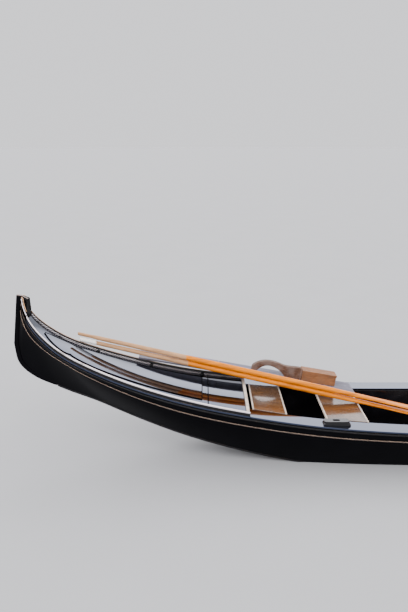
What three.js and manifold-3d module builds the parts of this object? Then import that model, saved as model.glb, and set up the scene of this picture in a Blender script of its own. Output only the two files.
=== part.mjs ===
// A rowing boat for canals: a long black lacquered hull, wider to port than to starboard,
// with a toothed iron at the bow, a tall blunt stern, open wells amidships, seats and oars.
// Millimetres, +X to the bow, +Y to port, +Z up, origin on the waterline amidships.
import * as THREE from 'three';
import { mergeVertices } from 'three/addons/utils/BufferGeometryUtils.js';
import Module from 'manifold-3d';

// Driving dimensions. Places along the boat are distances forward of the stern's aft face.
const LENGTH = 10960;
const AMIDSHIPS = LENGTH / 2;
const PORT_SHIFT = 120;
const GAP = 0.4;
const PLANK = 14;
const BOTTOM_PLANK = 18;
const DECK = 18;
const CAMBER = 0.05;
const POST_HALF = 34;
const POST_DEPTH = 45;
const POST_GAP = 0.8;
const SIDE_DECK = 184;
const COAMING = 16;
const FLOOR_HEIGHT = 70;
const FLOORBOARD = 20;
const RIM_WIDTH = 26;
const RIM_HEIGHT = 44;
const IRON = 12;

// Stations along the boat where decks, boards and wells begin and end.
const AFT_LIP = 2264;
const AFT_THWART = [2300, 2640];
const MID_THWART = [3025, 3440];
const FORE_STEP = [6900, 7260];
const FORE_THWART = [7860, 8310];
const FORE_LIP = 8400;

// Hull lines: the sheer and the chine at matching stations, each as its distance from the
// stern, its height above the waterline and its half breadth.
const HULL_COLUMNS = ['sheerAt', 'sheerUp', 'sheerHalf', 'chineAt', 'chineUp', 'chineHalf'];
const HULL = [
  [18, 1600, 40, -40, 1150, 28],
  [45, 1480, 80, -8, 975, 28],
  [110, 1350, 122, 100, 850, 30],
  [240, 1210, 176, 352, 712, 46],
  [430, 1072, 236, 740, 588, 112],
  [720, 938, 305, 980, 498, 158],
  [1150, 785, 378, 1280, 390, 216],
  [1650, 650, 440, 1680, 262, 280],
  [2250, 540, 505, 2270, 112, 345],
  [3000, 455, 590, 3000, -18, 402],
  [4000, 405, 662, 4000, -108, 442],
  [5200, 390, 700, 5200, -150, 456],
  [6400, 400, 690, 6400, -150, 440],
  [7600, 425, 625, 7600, -115, 388],
  [8600, 458, 520, 8600, -62, 305],
  [9300, 502, 432, 9350, 0, 222],
  [9800, 575, 346, 9870, 68, 146],
  [10150, 700, 248, 10260, 142, 78],
  [10420, 862, 152, 10490, 232, 36],
  [10570, 1010, 78, 10605, 372, 28],
  [10655, 1125, 34, 10655, 700, 28],
];
const STEM_AT = 10655;
const STERN_AT = 18;

const finish = (colour, roughness, metalness) => (
  new THREE.MeshStandardMaterial({ color: colour, roughness, metalness })
);
const LACQUER = finish(0x0b0b0e, 0.12, 0);
const CARVED = finish(0x131216, 0.35, 0);
const STEEL = finish(0x8f8a86, 0.28, 1);
const BRASS = finish(0xc9a050, 0.3, 1);
const VARNISH = finish(0x6a3c1c, 0.2, 0);
const GREY_BOARD = finish(0x85848e, 0.9, 0);
const OAR_WOOD = finish(0xd79a45, 0.4, 0);
const WALNUT = finish(0x7a4a2a, 0.4, 0);
const RED_CLOTH = finish(0xc01820, 0.8, 0);
const BARE_WOOD = finish(0xa98a64, 0.7, 0);

const boat = new THREE.Group();
const wasm = await Module();
wasm.setup();

function add(name, geometry, material) {
  const mesh = new THREE.Mesh(geometry, material);
  mesh.name = name;
  boat.add(mesh);
}

// A closed body through matching closed outlines, listed from one end to the other.
function loft(outlines, capAxes = ['y', 'z']) {
  const count = outlines[0].length;
  const positions = [];
  outlines.forEach((outline) => outline.forEach((p) => positions.push(p.x, p.y, p.z)));
  const triangles = [];
  for (let row = 0; row < outlines.length - 1; row += 1) {
    for (let k = 0; k < count; k += 1) {
      const a = row * count + k;
      const b = row * count + ((k + 1) % count);
      triangles.push([a, b, b + count], [a, b + count, a + count]);
    }
  }
  const [across, up] = capAxes;
  const flat = (outline) => outline.map((p) => new THREE.Vector2(p[across], p[up]));
  const last = (outlines.length - 1) * count;
  const first = THREE.ShapeUtils.triangulateShape(flat(outlines[0]), []);
  first.forEach(([a, b, c]) => triangles.push([c, b, a]));
  const end = THREE.ShapeUtils.triangulateShape(flat(outlines[outlines.length - 1]), []);
  end.forEach(([a, b, c]) => triangles.push([a + last, b + last, c + last]));
  return orient(positions, triangles, count);
}

// Turns the walls, then each cap, so that every face points out of the body.
function orient(positions, triangles, count) {
  const edges = new Map();
  triangles.forEach((t, i) => {
    for (let k = 0; k < 3; k += 1) {
      const pair = [t[k], t[(k + 1) % 3]];
      const key = Math.min(...pair) + '_' + Math.max(...pair);
      if (!edges.has(key)) edges.set(key, []);
      edges.get(key).push([i, pair[0] < pair[1]]);
    }
  });
  const turned = new Array(triangles.length).fill(null);
  turned[0] = false;
  const queue = [0];
  while (queue.length > 0) {
    const i = queue.pop();
    const t = triangles[i];
    for (let k = 0; k < 3; k += 1) {
      const pair = [t[k], t[(k + 1) % 3]];
      const key = Math.min(...pair) + '_' + Math.max(...pair);
      const mine = pair[0] < pair[1];
      edges.get(key).forEach(([j, theirs]) => {
        if (j === i || turned[j] !== null) return;
        turned[j] = (mine === theirs) !== turned[i];
        queue.push(j);
      });
    }
  }
  const faces = triangles.map((t, i) => (turned[i] ? [t[0], t[2], t[1]] : t));
  const at = (i) => new THREE.Vector3().fromArray(positions, i * 3);
  let volume = 0;
  faces.forEach(([a, b, c]) => {
    volume += at(a).dot(at(b).cross(at(c)));
  });
  const outward = volume > 0 ? faces : faces.map(([a, b, c]) => [a, c, b]);
  const geometry = new THREE.BufferGeometry();
  geometry.setAttribute('position', new THREE.Float32BufferAttribute(positions, 3));
  geometry.setIndex(outward.flat());
  return geometry;
}

function solid(geometry) {
  const bare = geometry.clone();
  bare.deleteAttribute('normal');
  bare.deleteAttribute('uv');
  const merged = mergeVertices(bare, 1e-3);
  const index = merged.index.array;
  const vertices = new Float32Array(merged.attributes.position.array);
  const mesh = new wasm.Mesh({
    numProp: 3, vertProperties: vertices, triVerts: new Uint32Array(index),
  });
  return new wasm.Manifold(mesh);
}

function geometryOf(manifold) {
  const mesh = manifold.getMesh();
  const geometry = new THREE.BufferGeometry();
  geometry.setAttribute('position', new THREE.Float32BufferAttribute(mesh.vertProperties, 3));
  geometry.setIndex(new THREE.Uint32BufferAttribute(mesh.triVerts, 1));
  return geometry;
}

const joined = (list) => (
  geometryOf(list.map(solid).reduce((whole, piece) => whole.add(piece)))
);

// The hull's lines as smooth curves, in distances from the stern.
const column = (row, name) => row[HULL_COLUMNS.indexOf(name)];
const line = (edge) => new THREE.CatmullRomCurve3(HULL.map((row) => new THREE.Vector3(
  column(row, edge + 'At'), column(row, edge + 'Half'), column(row, edge + 'Up'),
)), false, 'centripetal');
const sheerLine = line('sheer');
const chineLine = line('chine');
const ROWS = 60;
const sheerRows = sheerLine.getPoints(ROWS);
const chineRows = chineLine.getPoints(ROWS);

function along(rows, station) {
  const s = Math.min(Math.max(station, rows[0].x), rows[ROWS].x);
  const k = Math.max(rows.findIndex((p) => p.x >= s), 1);
  const a = rows[k - 1];
  const b = rows[k];
  const f = (s - a.x) / (b.x - a.x || 1);
  return { half: a.y + (b.y - a.y) * f, up: a.z + (b.z - a.z) * f };
}
const sheer = (station) => along(sheerRows, station);
const chine = (station) => along(chineRows, station);

// The boat's middle plane bends to port, since its port side is the broader one.
function middle(station) {
  const f = (station - STERN_AT) / (STEM_AT - STERN_AT);
  return PORT_SHIFT * Math.sin(Math.PI * Math.min(Math.max(f, 0), 1)) ** 2;
}
const place = (station, y, z) => new THREE.Vector3(station - AMIDSHIPS, y, z);

// Stations between two ends, with the hull's own rows between them.
const CLOSEST = 12;
function stations(from, to, rows = sheerRows) {
  const inside = rows.map((p) => p.x).filter((s) => s > from + CLOSEST && s < to - CLOSEST);
  return [from, ...inside, to];
}
function withStations(list, extra) {
  const kept = list.filter((s, i) => i === 0 || i === list.length - 1
    || extra.every((other) => Math.abs(other - s) > CLOSEST));
  return [...kept, ...extra].sort((a, b) => a - b);
}

// Side planking: rows of points from sheer to chine, the wall bulging a little between.
const PLANK_POINTS = 4;
const BULGE = 16;
function plankPoint(u, fraction, side, inset) {
  const top = sheerLine.getPoint(u);
  const low = chineLine.getPoint(u);
  const at = top.clone().lerp(low, fraction);
  const bulge = BULGE * Math.sin(Math.PI * fraction) * Math.min(1, at.y / 300);
  const y = side * (at.y + bulge - inset) + middle(at.x);
  return place(at.x, y, at.z);
}
function planking(side) {
  const rows = [];
  for (let r = 0; r <= ROWS; r += 1) {
    const outer = [];
    const inner = [];
    for (let k = 0; k <= PLANK_POINTS; k += 1) {
      outer.push(plankPoint(r / ROWS, k / PLANK_POINTS, side, 0));
      inner.unshift(plankPoint(r / ROWS, k / PLANK_POINTS, side, PLANK));
    }
    rows.push([...outer, ...inner]);
  }
  return loft(rows);
}

// A point on the faceted outer face, a given distance down from the sheer.
function outerFace(r, side, down, out) {
  const u = r / ROWS;
  const length = sheerLine.getPoint(u).distanceTo(chineLine.getPoint(u));
  const f = Math.min(down / length, 1) * PLANK_POINTS;
  const k = Math.min(Math.floor(f), PLANK_POINTS - 1);
  const a = plankPoint(u, k / PLANK_POINTS, side, -out);
  const b = plankPoint(u, (k + 1) / PLANK_POINTS, side, -out);
  return a.lerp(b, f - k);
}

// A half round moulding nailed along the outside of the planking.
const MOULDING_GAP = 1.3;
function moulding(side, down, height, proud, firstRow, lastRow) {
  const rows = [];
  for (let r = firstRow; r <= lastRow; r += 1) {
    rows.push([
      outerFace(r, side, down, MOULDING_GAP),
      outerFace(r, side, down + height * 0.15, proud * 0.8),
      outerFace(r, side, down + height * 0.5, proud),
      outerFace(r, side, down + height * 0.85, proud * 0.8),
      outerFace(r, side, down + height, MOULDING_GAP),
    ]);
  }
  return loft(rows);
}

// A sheet across the boat: its underside and topside heights as functions of place.
function sheet(list, edges, under, top, columns) {
  return loft(list.map((s) => {
    const [from, to] = edges(s);
    const upper = [];
    const lower = [];
    for (let k = 0; k <= columns; k += 1) {
      const y = from + ((to - from) * k) / columns;
      upper.push(place(s, y, top(s, y)));
      lower.unshift(place(s, y, under(s, y)));
    }
    return [...upper, ...lower];
  }));
}

// Deck surface: it rests on the planking's top edge and rises to the middle.
const DECK_OVERHANG = 6;
const DECK_COLUMNS = 12;
function deckUnder(s, y) {
  const { half, up } = sheer(s);
  const v = Math.min(Math.abs(y - middle(s)) / (half + DECK_OVERHANG), 1);
  return up + GAP + CAMBER * half * (1 - v * v);
}
const deckTop = (s, y) => deckUnder(s, y) + DECK;
const wholeWidth = (s) => {
  const half = sheer(s).half + DECK_OVERHANG;
  return [middle(s) - half, middle(s) + half];
};

// Deck panels: a thin raised board whose end by the post narrows in an ogee, given by its
// distance from the panel's tip and its share of the deck's half breadth there.
const PANEL_THICK = 7;
const PANEL_OGEE = [
  [0, 0.06], [50, 0.3], [120, 0.48], [210, 0.56], [270, 0.48], [340, 0.56], [520, 0.65],
];
const AFT_PANEL = { tip: 225, end: 1800 };
const FORE_PANEL = { tip: 10330, end: 8950 };
const ogeeStations = ({ tip, end }) => (
  [...PANEL_OGEE.map(([at]) => tip + Math.sign(end - tip) * at), end]
);
const HEAD_END = 80;
const AFT_DECK_STATIONS = withStations(
  stations(HEAD_END + GAP, AFT_LIP), [AFT_LIP - 30, ...ogeeStations(AFT_PANEL)],
);
const FORE_DECK_STATIONS = withStations(
  stations(FORE_LIP, STEM_AT - GAP), [STEM_AT - 42, FORE_LIP + 30, ...ogeeStations(FORE_PANEL)],
);
add('aft_deck', sheet(AFT_DECK_STATIONS, wholeWidth, deckUnder, deckTop, DECK_COLUMNS), LACQUER);
add('fore_deck', sheet(FORE_DECK_STATIONS, wholeWidth, deckUnder, deckTop, DECK_COLUMNS), LACQUER);

const SIDES = [
  { name: 'port', sign: 1 },
  { name: 'starboard', sign: -1 },
];
const RAIL = { down: 5, height: 26, proud: 20 };
const BEAD = { down: 100, height: 14, proud: 10 };
SIDES.forEach(({ name, sign }) => {
  add(`planking_${name}`, planking(sign), LACQUER);
  add(`rubbing_rail_${name}`,
    moulding(sign, RAIL.down, RAIL.height, RAIL.proud, 0, ROWS), LACQUER);
  add(`lower_bead_${name}`,
    moulding(sign, BEAD.down, BEAD.height, BEAD.proud, 0, ROWS), LACQUER);
});

// Bottom planking under the chines, in three lengths from the stern post's heel to the stem's.
const BOTTOM = [330, 10440];
const bottomWidth = (s) => {
  const half = chine(s).half + 2;
  return [middle(s) - half, middle(s) + half];
};
const BOTTOM_JOINTS = [3300, 7400];
[
  { name: 'aft', at: [BOTTOM[0], BOTTOM_JOINTS[0] - GAP] },
  { name: 'middle', at: BOTTOM_JOINTS },
  { name: 'fore', at: [BOTTOM_JOINTS[1] + GAP, BOTTOM[1]] },
].forEach(({ name, at }) => {
  add(`bottom_planking_${name}`, sheet(
    stations(at[0], at[1], chineRows),
    bottomWidth,
    (s) => chine(s).up - GAP - BOTTOM_PLANK,
    (s) => chine(s).up - GAP,
    2,
  ), LACQUER);
});

// Posts: a flat board on edge that closes the planking at each end. It follows the chine
// from the post's head down to where the bottom planking starts.
const STERN_TOP = 1640;
const STEM_TOP = 1140;
function postLine(headAt, headUp, heelAt) {
  const toward = Math.sign(headAt - heelAt);
  const reach = chineRows.filter((p) => (p.x - heelAt) * toward > 1);
  const run = toward < 0 ? reach : [...reach].reverse();
  const heel = new THREE.Vector2(heelAt + toward, chine(heelAt + toward).up);
  const line2d = [new THREE.Vector2(headAt, headUp)];
  run.forEach((p) => line2d.push(new THREE.Vector2(p.x, p.z)));
  line2d.push(heel);
  return (distance) => line2d.map((p, i) => {
    const before = line2d[Math.max(i - 1, 0)];
    const after = line2d[Math.min(i + 1, line2d.length - 1)];
    const tangent = after.clone().sub(before).normalize();
    const normal = new THREE.Vector2(tangent.y, -tangent.x).multiplyScalar(-toward * distance);
    return p.clone().add(normal);
  });
}
function post(offset) {
  const shape = new THREE.Shape([...offset(POST_GAP), ...offset(POST_DEPTH).reverse()]);
  const geometry = new THREE.ExtrudeGeometry(shape, {
    depth: POST_HALF * 2, bevelEnabled: false,
  });
  geometry.rotateX(Math.PI / 2);
  geometry.translate(-AMIDSHIPS, POST_HALF, 0);
  return geometry;
}
const sternLine = postLine(STERN_AT, STERN_TOP, BOTTOM[0]);
const stemLine = postLine(STEM_AT, STEM_TOP, BOTTOM[1]);
add('stern_post', post(sternLine), LACQUER);
add('stem_post', post(stemLine), LACQUER);

// The stern's head: a block on the planking's top edge that carries the deck up to the post.
const HEAD = { topEnd: 1606, topHalf: [36, 68] };
const alongHead = (s) => (s - STERN_AT) / (HEAD_END - STERN_AT);
const headTop = (s) => STERN_TOP + (HEAD.topEnd - STERN_TOP) * alongHead(s);
function sternHead() {
  const list = stations(STERN_AT + GAP, HEAD_END);
  return loft(list.map((s) => {
    const { half, up } = sheer(s);
    const low = half + DECK_OVERHANG;
    const [from, to] = HEAD.topHalf;
    const high = from + (to - from) * alongHead(s);
    const m = middle(s);
    return [
      place(s, m + low, up + GAP),
      place(s, m - low, up + GAP),
      place(s, m - high, headTop(s)),
      place(s, m + high, headTop(s)),
    ];
  }));
}
add('stern_head', sternHead(), LACQUER);

// Raised rims along the deck edges, from the lip to the head or the post.
const rimEdges = (sign, from, to) => (s) => {
  const half = sheer(s).half + DECK_OVERHANG;
  return [middle(s) + sign * (half - from), middle(s) + sign * (half - to)];
};
const RIM_INSET = 2;
function rim(list, sign) {
  const edges = rimEdges(sign, RIM_INSET + RIM_WIDTH, RIM_INSET);
  const under = (s, y) => deckTop(s, y) + GAP;
  const top = (s, y) => {
    const [a, b] = edges(s);
    const f = (y - a) / (b - a);
    return deckTop(s, (a + b) / 2) + RIM_HEIGHT * (0.55 + 0.45 * Math.sin(Math.PI * f));
  };
  return sheet(list, edges, under, top, 4);
}
const RIM_END = 40;
SIDES.forEach(({ name, sign }) => {
  add(`aft_rim_${name}`, rim(AFT_DECK_STATIONS, sign), CARVED);
  add(`fore_rim_${name}`, rim(
    FORE_DECK_STATIONS.filter((s) => s < STEM_AT - RIM_END), sign,
  ), CARVED);
});

function panelShare(distance) {
  const k = PANEL_OGEE.findIndex(([at]) => at >= distance - 1e-6);
  if (k === 0) return PANEL_OGEE[0][1];
  if (k < 0) return PANEL_OGEE[PANEL_OGEE.length - 1][1];
  const [a, shareA] = PANEL_OGEE[k - 1];
  const [b, shareB] = PANEL_OGEE[k];
  return shareA + ((shareB - shareA) * (distance - a)) / (b - a);
}
function panel(deckStations, { tip, end }) {
  const list = deckStations.filter((s) => (s - tip) * (s - end) <= 0);
  const edges = (s) => {
    const half = (sheer(s).half + DECK_OVERHANG) * panelShare(Math.abs(s - tip));
    return [middle(s) - half, middle(s) + half];
  };
  const base = (s, y) => deckTop(s, y) + GAP * 2;
  return sheet(list, edges, base, (s, y) => base(s, y) + PANEL_THICK, 8);
}
add('aft_panel', panel(AFT_DECK_STATIONS, AFT_PANEL), LACQUER);
add('fore_panel', panel(FORE_DECK_STATIONS, FORE_PANEL), LACQUER);

// Lips: a square bar across the deck's open end.
const LIP = { width: 30, height: 16 };
function lip(from, to) {
  const edges = (s) => {
    const half = sheer(s).half - RIM_WIDTH - RIM_INSET - 2;
    return [middle(s) - half, middle(s) + half];
  };
  const base = (s, y) => deckTop(s, y) + GAP;
  return sheet([from, to], edges, base, (s, y) => base(s, y) + LIP.height, DECK_COLUMNS);
}
add('aft_lip', lip(AFT_LIP - LIP.width, AFT_LIP), BARE_WOOD);
add('fore_lip', lip(FORE_LIP, FORE_LIP + LIP.width), BARE_WOOD);

// Side decks, coamings, bulkheads and thwarts round the open wells.
const OPEN = [AFT_LIP + GAP, FORE_LIP - GAP];
const OPEN_STATIONS = stations(OPEN[0], OPEN[1]);
const flatUnder = (s) => sheer(s).up + GAP;
const flatTop = (s) => flatUnder(s) + DECK;
SIDES.forEach(({ name, sign }) => {
  const edges = (s) => {
    const { half } = sheer(s);
    const outer = middle(s) + sign * (half + DECK_OVERHANG);
    return [outer, middle(s) + sign * (half - SIDE_DECK)];
  };
  add(`side_deck_${name}`, sheet(OPEN_STATIONS, edges, flatUnder, flatTop, 1), LACQUER);
});

// A coaming leans in from the side deck's inner edge to the bottom planking, in four lengths.
const COAMING_FOOT = 46;
const COAMING_JOINTS = [3100, 5400, 7860];
const coamingTop = (s) => sheer(s).up - GAP;
const coamingFoot = (s) => chine(s).up + 4;
function coaming(sign, list) {
  return loft(list.map((s) => {
    const topY = middle(s) + sign * (sheer(s).half - SIDE_DECK);
    const footY = middle(s) + sign * (chine(s).half - COAMING_FOOT);
    const half = COAMING / 2;
    return [
      place(s, topY + half, coamingTop(s)),
      place(s, topY - half, coamingTop(s)),
      place(s, footY - half, coamingFoot(s)),
      place(s, footY + half, coamingFoot(s)),
    ];
  }));
}
const BULKHEAD = 16;
const COAMING_ENDS = [OPEN[0] + BULKHEAD + 2, ...COAMING_JOINTS, OPEN[1] - BULKHEAD - 2];
SIDES.forEach(({ name, sign }) => {
  COAMING_ENDS.slice(0, -1).forEach((from, i) => {
    const to = COAMING_ENDS[i + 1] - GAP;
    add(`coaming_${name}_${i + 1}`, coaming(sign, stations(from, to)), CARVED);
  });
});

// Bulkheads close the decks' ends, inside the planking and under the deck.
const BULKHEAD_CLEAR = 20;
function bulkhead(from, to) {
  return loft([from, to].map((s) => {
    const top = sheer(s);
    const low = chine(s);
    const m = middle(s);
    return [
      place(s, m - top.half + BULKHEAD_CLEAR, top.up - GAP),
      place(s, m + top.half - BULKHEAD_CLEAR, top.up - GAP),
      place(s, m + low.half - BULKHEAD_CLEAR, low.up + GAP),
      place(s, m - low.half + BULKHEAD_CLEAR, low.up + GAP),
    ];
  }));
}
add('aft_bulkhead', bulkhead(AFT_LIP, AFT_LIP + BULKHEAD), CARVED);
add('fore_bulkhead', bulkhead(FORE_LIP - BULKHEAD, FORE_LIP), CARVED);

// Boards let in between the side decks, resting on the coamings.
const THWART = 24;
const boardEdges = (clear) => (s) => {
  const half = sheer(s).half - SIDE_DECK - clear;
  return [middle(s) - half, middle(s) + half];
};
[
  { name: 'aft_thwart', at: AFT_THWART },
  { name: 'mid_thwart', at: MID_THWART },
  { name: 'fore_step', at: FORE_STEP },
  { name: 'fore_thwart', at: FORE_THWART },
].forEach(({ name, at }) => {
  add(name, sheet(at, boardEdges(GAP), flatUnder, (s) => flatUnder(s) + THWART, 1), VARNISH);
});

// Floorboards on cross battens that stand on the bottom planking.
const BATTEN = 50;
const floorUnder = (s) => chine(s).up + FLOOR_HEIGHT;
const floorEdges = (s) => {
  const half = chine(s).half - COAMING_FOOT - COAMING / 2 - 3;
  return [middle(s) - half, middle(s) + half];
};
function floorboards(from, to, battens) {
  const board = sheet(
    stations(from, to, chineRows), floorEdges, floorUnder, (s) => floorUnder(s) + FLOORBOARD, 1,
  );
  const feet = battens.map((s) => sheet(
    stations(s, s + BATTEN, chineRows), floorEdges,
    (at) => chine(at).up + GAP, (at) => floorUnder(at) + 4, 1,
  ));
  return joined([board, ...feet]);
}
[
  { name: 'aft_floor', at: [2310, 3960], battens: [2390, 3160, 3840] },
  { name: 'cabin_floor', at: [3964, 6880], battens: [4040, 4900, 5800, 6720] },
  { name: 'fore_floor', at: [6884, 8360], battens: [6960, 7600, 8240] },
].forEach(({ name, at, battens }) => {
  add(name, floorboards(at[0], at[1], battens), CARVED);
});

// The bow iron: a flat plate with a blade, six teeth ahead, one behind and a strap below.
// Its outline is in distances ahead of the stem's face and heights above the waterline.
const BLADE = {
  tip: [237, 1690], lobe: [259, 1215], chin: [224, 1203], notchTop: 1249, spine: 76,
};
const TEETH = { count: 6, first: 1172, pitch: 87, height: 42, reach: 163, rise: 22 };
const BACK_TOOTH = { up: 1196, height: 36, reach: 172 };
const STRAP = { width: 30, taperTo: 560 };
const IRON_AT = STEM_AT + POST_DEPTH + POST_GAP;
function strapEdge(distance) {
  const outer = stemLine(POST_DEPTH + POST_GAP + distance);
  return outer.filter((p) => p.y < STRAP.taperTo).map((p) => [p.x - IRON_AT, p.y]);
}
function bowIron() {
  const shape = new THREE.Shape();
  shape.moveTo(...BLADE.tip);
  shape.lineTo(BLADE.lobe[0], BLADE.lobe[1]);
  shape.quadraticCurveTo(BLADE.lobe[0], 1190, BLADE.chin[0], BLADE.chin[1]);
  shape.quadraticCurveTo(BLADE.chin[0], BLADE.notchTop, 150, BLADE.notchTop);
  shape.quadraticCurveTo(BLADE.spine, BLADE.notchTop, BLADE.spine, TEETH.first + 12);
  for (let k = 0; k < TEETH.count; k += 1) {
    const top = TEETH.first - k * TEETH.pitch;
    shape.lineTo(BLADE.spine, top);
    shape.lineTo(BLADE.spine + TEETH.reach, top + TEETH.rise);
    shape.lineTo(BLADE.spine + TEETH.reach, top + TEETH.rise - TEETH.height);
    shape.lineTo(BLADE.spine, top - TEETH.height);
  }
  strapEdge(STRAP.width).forEach(([ahead, up]) => shape.lineTo(ahead, up));
  strapEdge(0).reverse().forEach(([ahead, up]) => shape.lineTo(ahead, up));
  shape.lineTo(0, column(HULL[HULL.length - 1], 'chineUp'));
  const low = BACK_TOOTH.up - BACK_TOOTH.height;
  shape.lineTo(0, low);
  shape.lineTo(-BACK_TOOTH.reach, low);
  shape.lineTo(-BACK_TOOTH.reach, BACK_TOOTH.up);
  shape.lineTo(-100, BACK_TOOTH.up);
  shape.bezierCurveTo(-150, 1290, -130, 1400, -95, 1440);
  shape.bezierCurveTo(-60, 1540, 60, 1640, BLADE.tip[0], BLADE.tip[1]);
  const geometry = new THREE.ExtrudeGeometry(shape, {
    depth: IRON, bevelEnabled: false, curveSegments: 8,
  });
  geometry.rotateX(Math.PI / 2);
  geometry.translate(IRON_AT - AMIDSHIPS, IRON / 2, 0);
  return geometry;
}
add('bow_iron', bowIron(), STEEL);

// Thin brass strips laid in the gaps between the iron's teeth.
const STRIP = { length: 150, height: 12, thick: 8, clear: 1 };
[3, 5].forEach((gap, i) => {
  const up = TEETH.first - gap * TEETH.pitch + (TEETH.pitch - TEETH.height) / 2;
  const strip = new THREE.BoxGeometry(STRIP.length, STRIP.thick, STRIP.height);
  strip.rotateY(-Math.atan(TEETH.rise / TEETH.reach));
  strip.translate(
    IRON_AT + BLADE.spine + STRIP.clear + STRIP.length / 2 - AMIDSHIPS, 0, up + TEETH.rise / 2,
  );
  add(`brass_strip_${i + 1}`, strip, BRASS);
});

// The stern iron: a narrow strap up the back of the stern post and forward over its head.
const STERN_STRAP = { thick: 4, width: 30, points: 6 };
function sternIron() {
  const lay = (distance) => {
    const back = sternLine(POST_DEPTH + distance).slice(0, STERN_STRAP.points);
    const outward = sternLine(1)[0].sub(sternLine(0)[0]);
    const upward = new THREE.Vector2(outward.y, -outward.x).multiplyScalar(distance);
    const corner = back[0].clone().add(upward);
    return [
      new THREE.Vector2(HEAD_END, HEAD.topEnd + distance),
      new THREE.Vector2(STERN_AT, STERN_TOP + distance),
      corner,
      ...back.slice(1),
    ];
  };
  const outer = lay(GAP * 2 + STERN_STRAP.thick).reverse();
  const shape = new THREE.Shape([...lay(GAP * 2), ...outer]);
  const geometry = new THREE.ExtrudeGeometry(shape, {
    depth: STERN_STRAP.width, bevelEnabled: false,
  });
  geometry.rotateX(Math.PI / 2);
  geometry.translate(-AMIDSHIPS, STERN_STRAP.width / 2, 0);
  return geometry;
}
add('stern_iron', sternIron(), STEEL);

// Seats stand on the floorboards, facing each other: a sofa aft, two small chairs forward.
const floorTop = (s) => floorUnder(s) + FLOORBOARD + GAP;
function block(from, to, centre, half, under, top) {
  const edges = () => [centre - half, centre + half];
  const low = typeof under === 'function' ? under : () => under;
  return sheet([from, to], edges, low, () => top, 1);
}
const SOFA = {
  back: [4965, 5010], base: [5010.5, 5520], half: 330, seatUp: 190, cushion: 95,
  backHalf: 385, shoulder: 560, crest: 730, pad: [5011, 5100], padTop: 590,
};
const sofaMiddle = middle((SOFA.base[0] + SOFA.base[1]) / 2);
function standing(from, to, outline, centre) {
  const shape = new THREE.Shape(outline.getPoints(7));
  const geometry = new THREE.ExtrudeGeometry(shape, { depth: to - from, bevelEnabled: false });
  geometry.rotateX(Math.PI / 2);
  geometry.rotateZ(Math.PI / 2);
  geometry.translate(from - AMIDSHIPS, centre, 0);
  return geometry;
}
function sofaBack() {
  const foot = floorTop(SOFA.back[0]) + GAP;
  const h = SOFA.backHalf;
  const outline = new THREE.Path();
  outline.moveTo(-h, foot);
  outline.lineTo(h, foot);
  outline.lineTo(h, SOFA.shoulder);
  outline.bezierCurveTo(h * 0.75, SOFA.shoulder + 90, h * 0.4, SOFA.shoulder, 0, SOFA.crest);
  outline.bezierCurveTo(-h * 0.4, SOFA.shoulder, -h * 0.75, SOFA.shoulder + 90, -h, SOFA.shoulder);
  return standing(SOFA.back[0], SOFA.back[1], outline, sofaMiddle);
}
add('sofa_back', sofaBack(), LACQUER);
add('sofa_base', block(
  SOFA.base[0], SOFA.base[1], sofaMiddle, SOFA.half, floorTop, SOFA.seatUp,
), LACQUER);
add('sofa_seat_cushion', block(
  SOFA.pad[1] + 2, SOFA.base[1] - 8, sofaMiddle, SOFA.half - 8,
  SOFA.seatUp + GAP, SOFA.seatUp + SOFA.cushion,
), RED_CLOTH);
add('sofa_back_cushion', block(
  SOFA.pad[0], SOFA.pad[1], sofaMiddle, SOFA.half - 8, SOFA.seatUp + GAP, SOFA.padTop,
), RED_CLOTH);

const CHAIR = {
  at: [6100, 6470], half: 165, apart: 205, leg: 34, seatUp: 210, seat: 22, pad: 60,
  backUp: 560, lobe: 620, thick: 34,
};
function chairFrame(centre) {
  const [from, to] = CHAIR.at;
  const h = CHAIR.half;
  const legs = [from, to - CHAIR.leg].flatMap((s) => [-1, 1].map((side) => block(
    s, s + CHAIR.leg, centre + side * (h - CHAIR.leg / 2), CHAIR.leg / 2,
    floorTop, CHAIR.seatUp - CHAIR.seat + 4,
  )));
  const seat = block(from, to, centre, h, CHAIR.seatUp - CHAIR.seat, CHAIR.seatUp);
  const outline = new THREE.Path();
  outline.moveTo(-h * 0.55, CHAIR.seatUp - 10);
  outline.lineTo(h * 0.55, CHAIR.seatUp - 10);
  outline.bezierCurveTo(h, 330, h * 1.15, 470, h, CHAIR.backUp);
  outline.bezierCurveTo(h * 0.8, CHAIR.lobe + 30, h * 0.15, CHAIR.lobe, 0, CHAIR.backUp);
  outline.bezierCurveTo(-h * 0.15, CHAIR.lobe, -h * 0.8, CHAIR.lobe + 30, -h, CHAIR.backUp);
  outline.bezierCurveTo(-h * 1.15, 470, -h, 330, -h * 0.55, CHAIR.seatUp - 10);
  const back = standing(to - CHAIR.thick, to, outline, centre);
  return joined([...legs, seat, back]);
}
SIDES.forEach(({ name, sign }) => {
  const centre = middle(CHAIR.at[0]) + sign * CHAIR.apart;
  add(`chair_${name}`, chairFrame(centre), RED_CLOTH);
  add(`chair_cushion_${name}`, block(
    CHAIR.at[0] + 8, CHAIR.at[1] - CHAIR.thick - 2, centre, CHAIR.half - 8,
    CHAIR.seatUp + GAP, CHAIR.seatUp + CHAIR.pad,
  ), RED_CLOTH);
});

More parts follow.
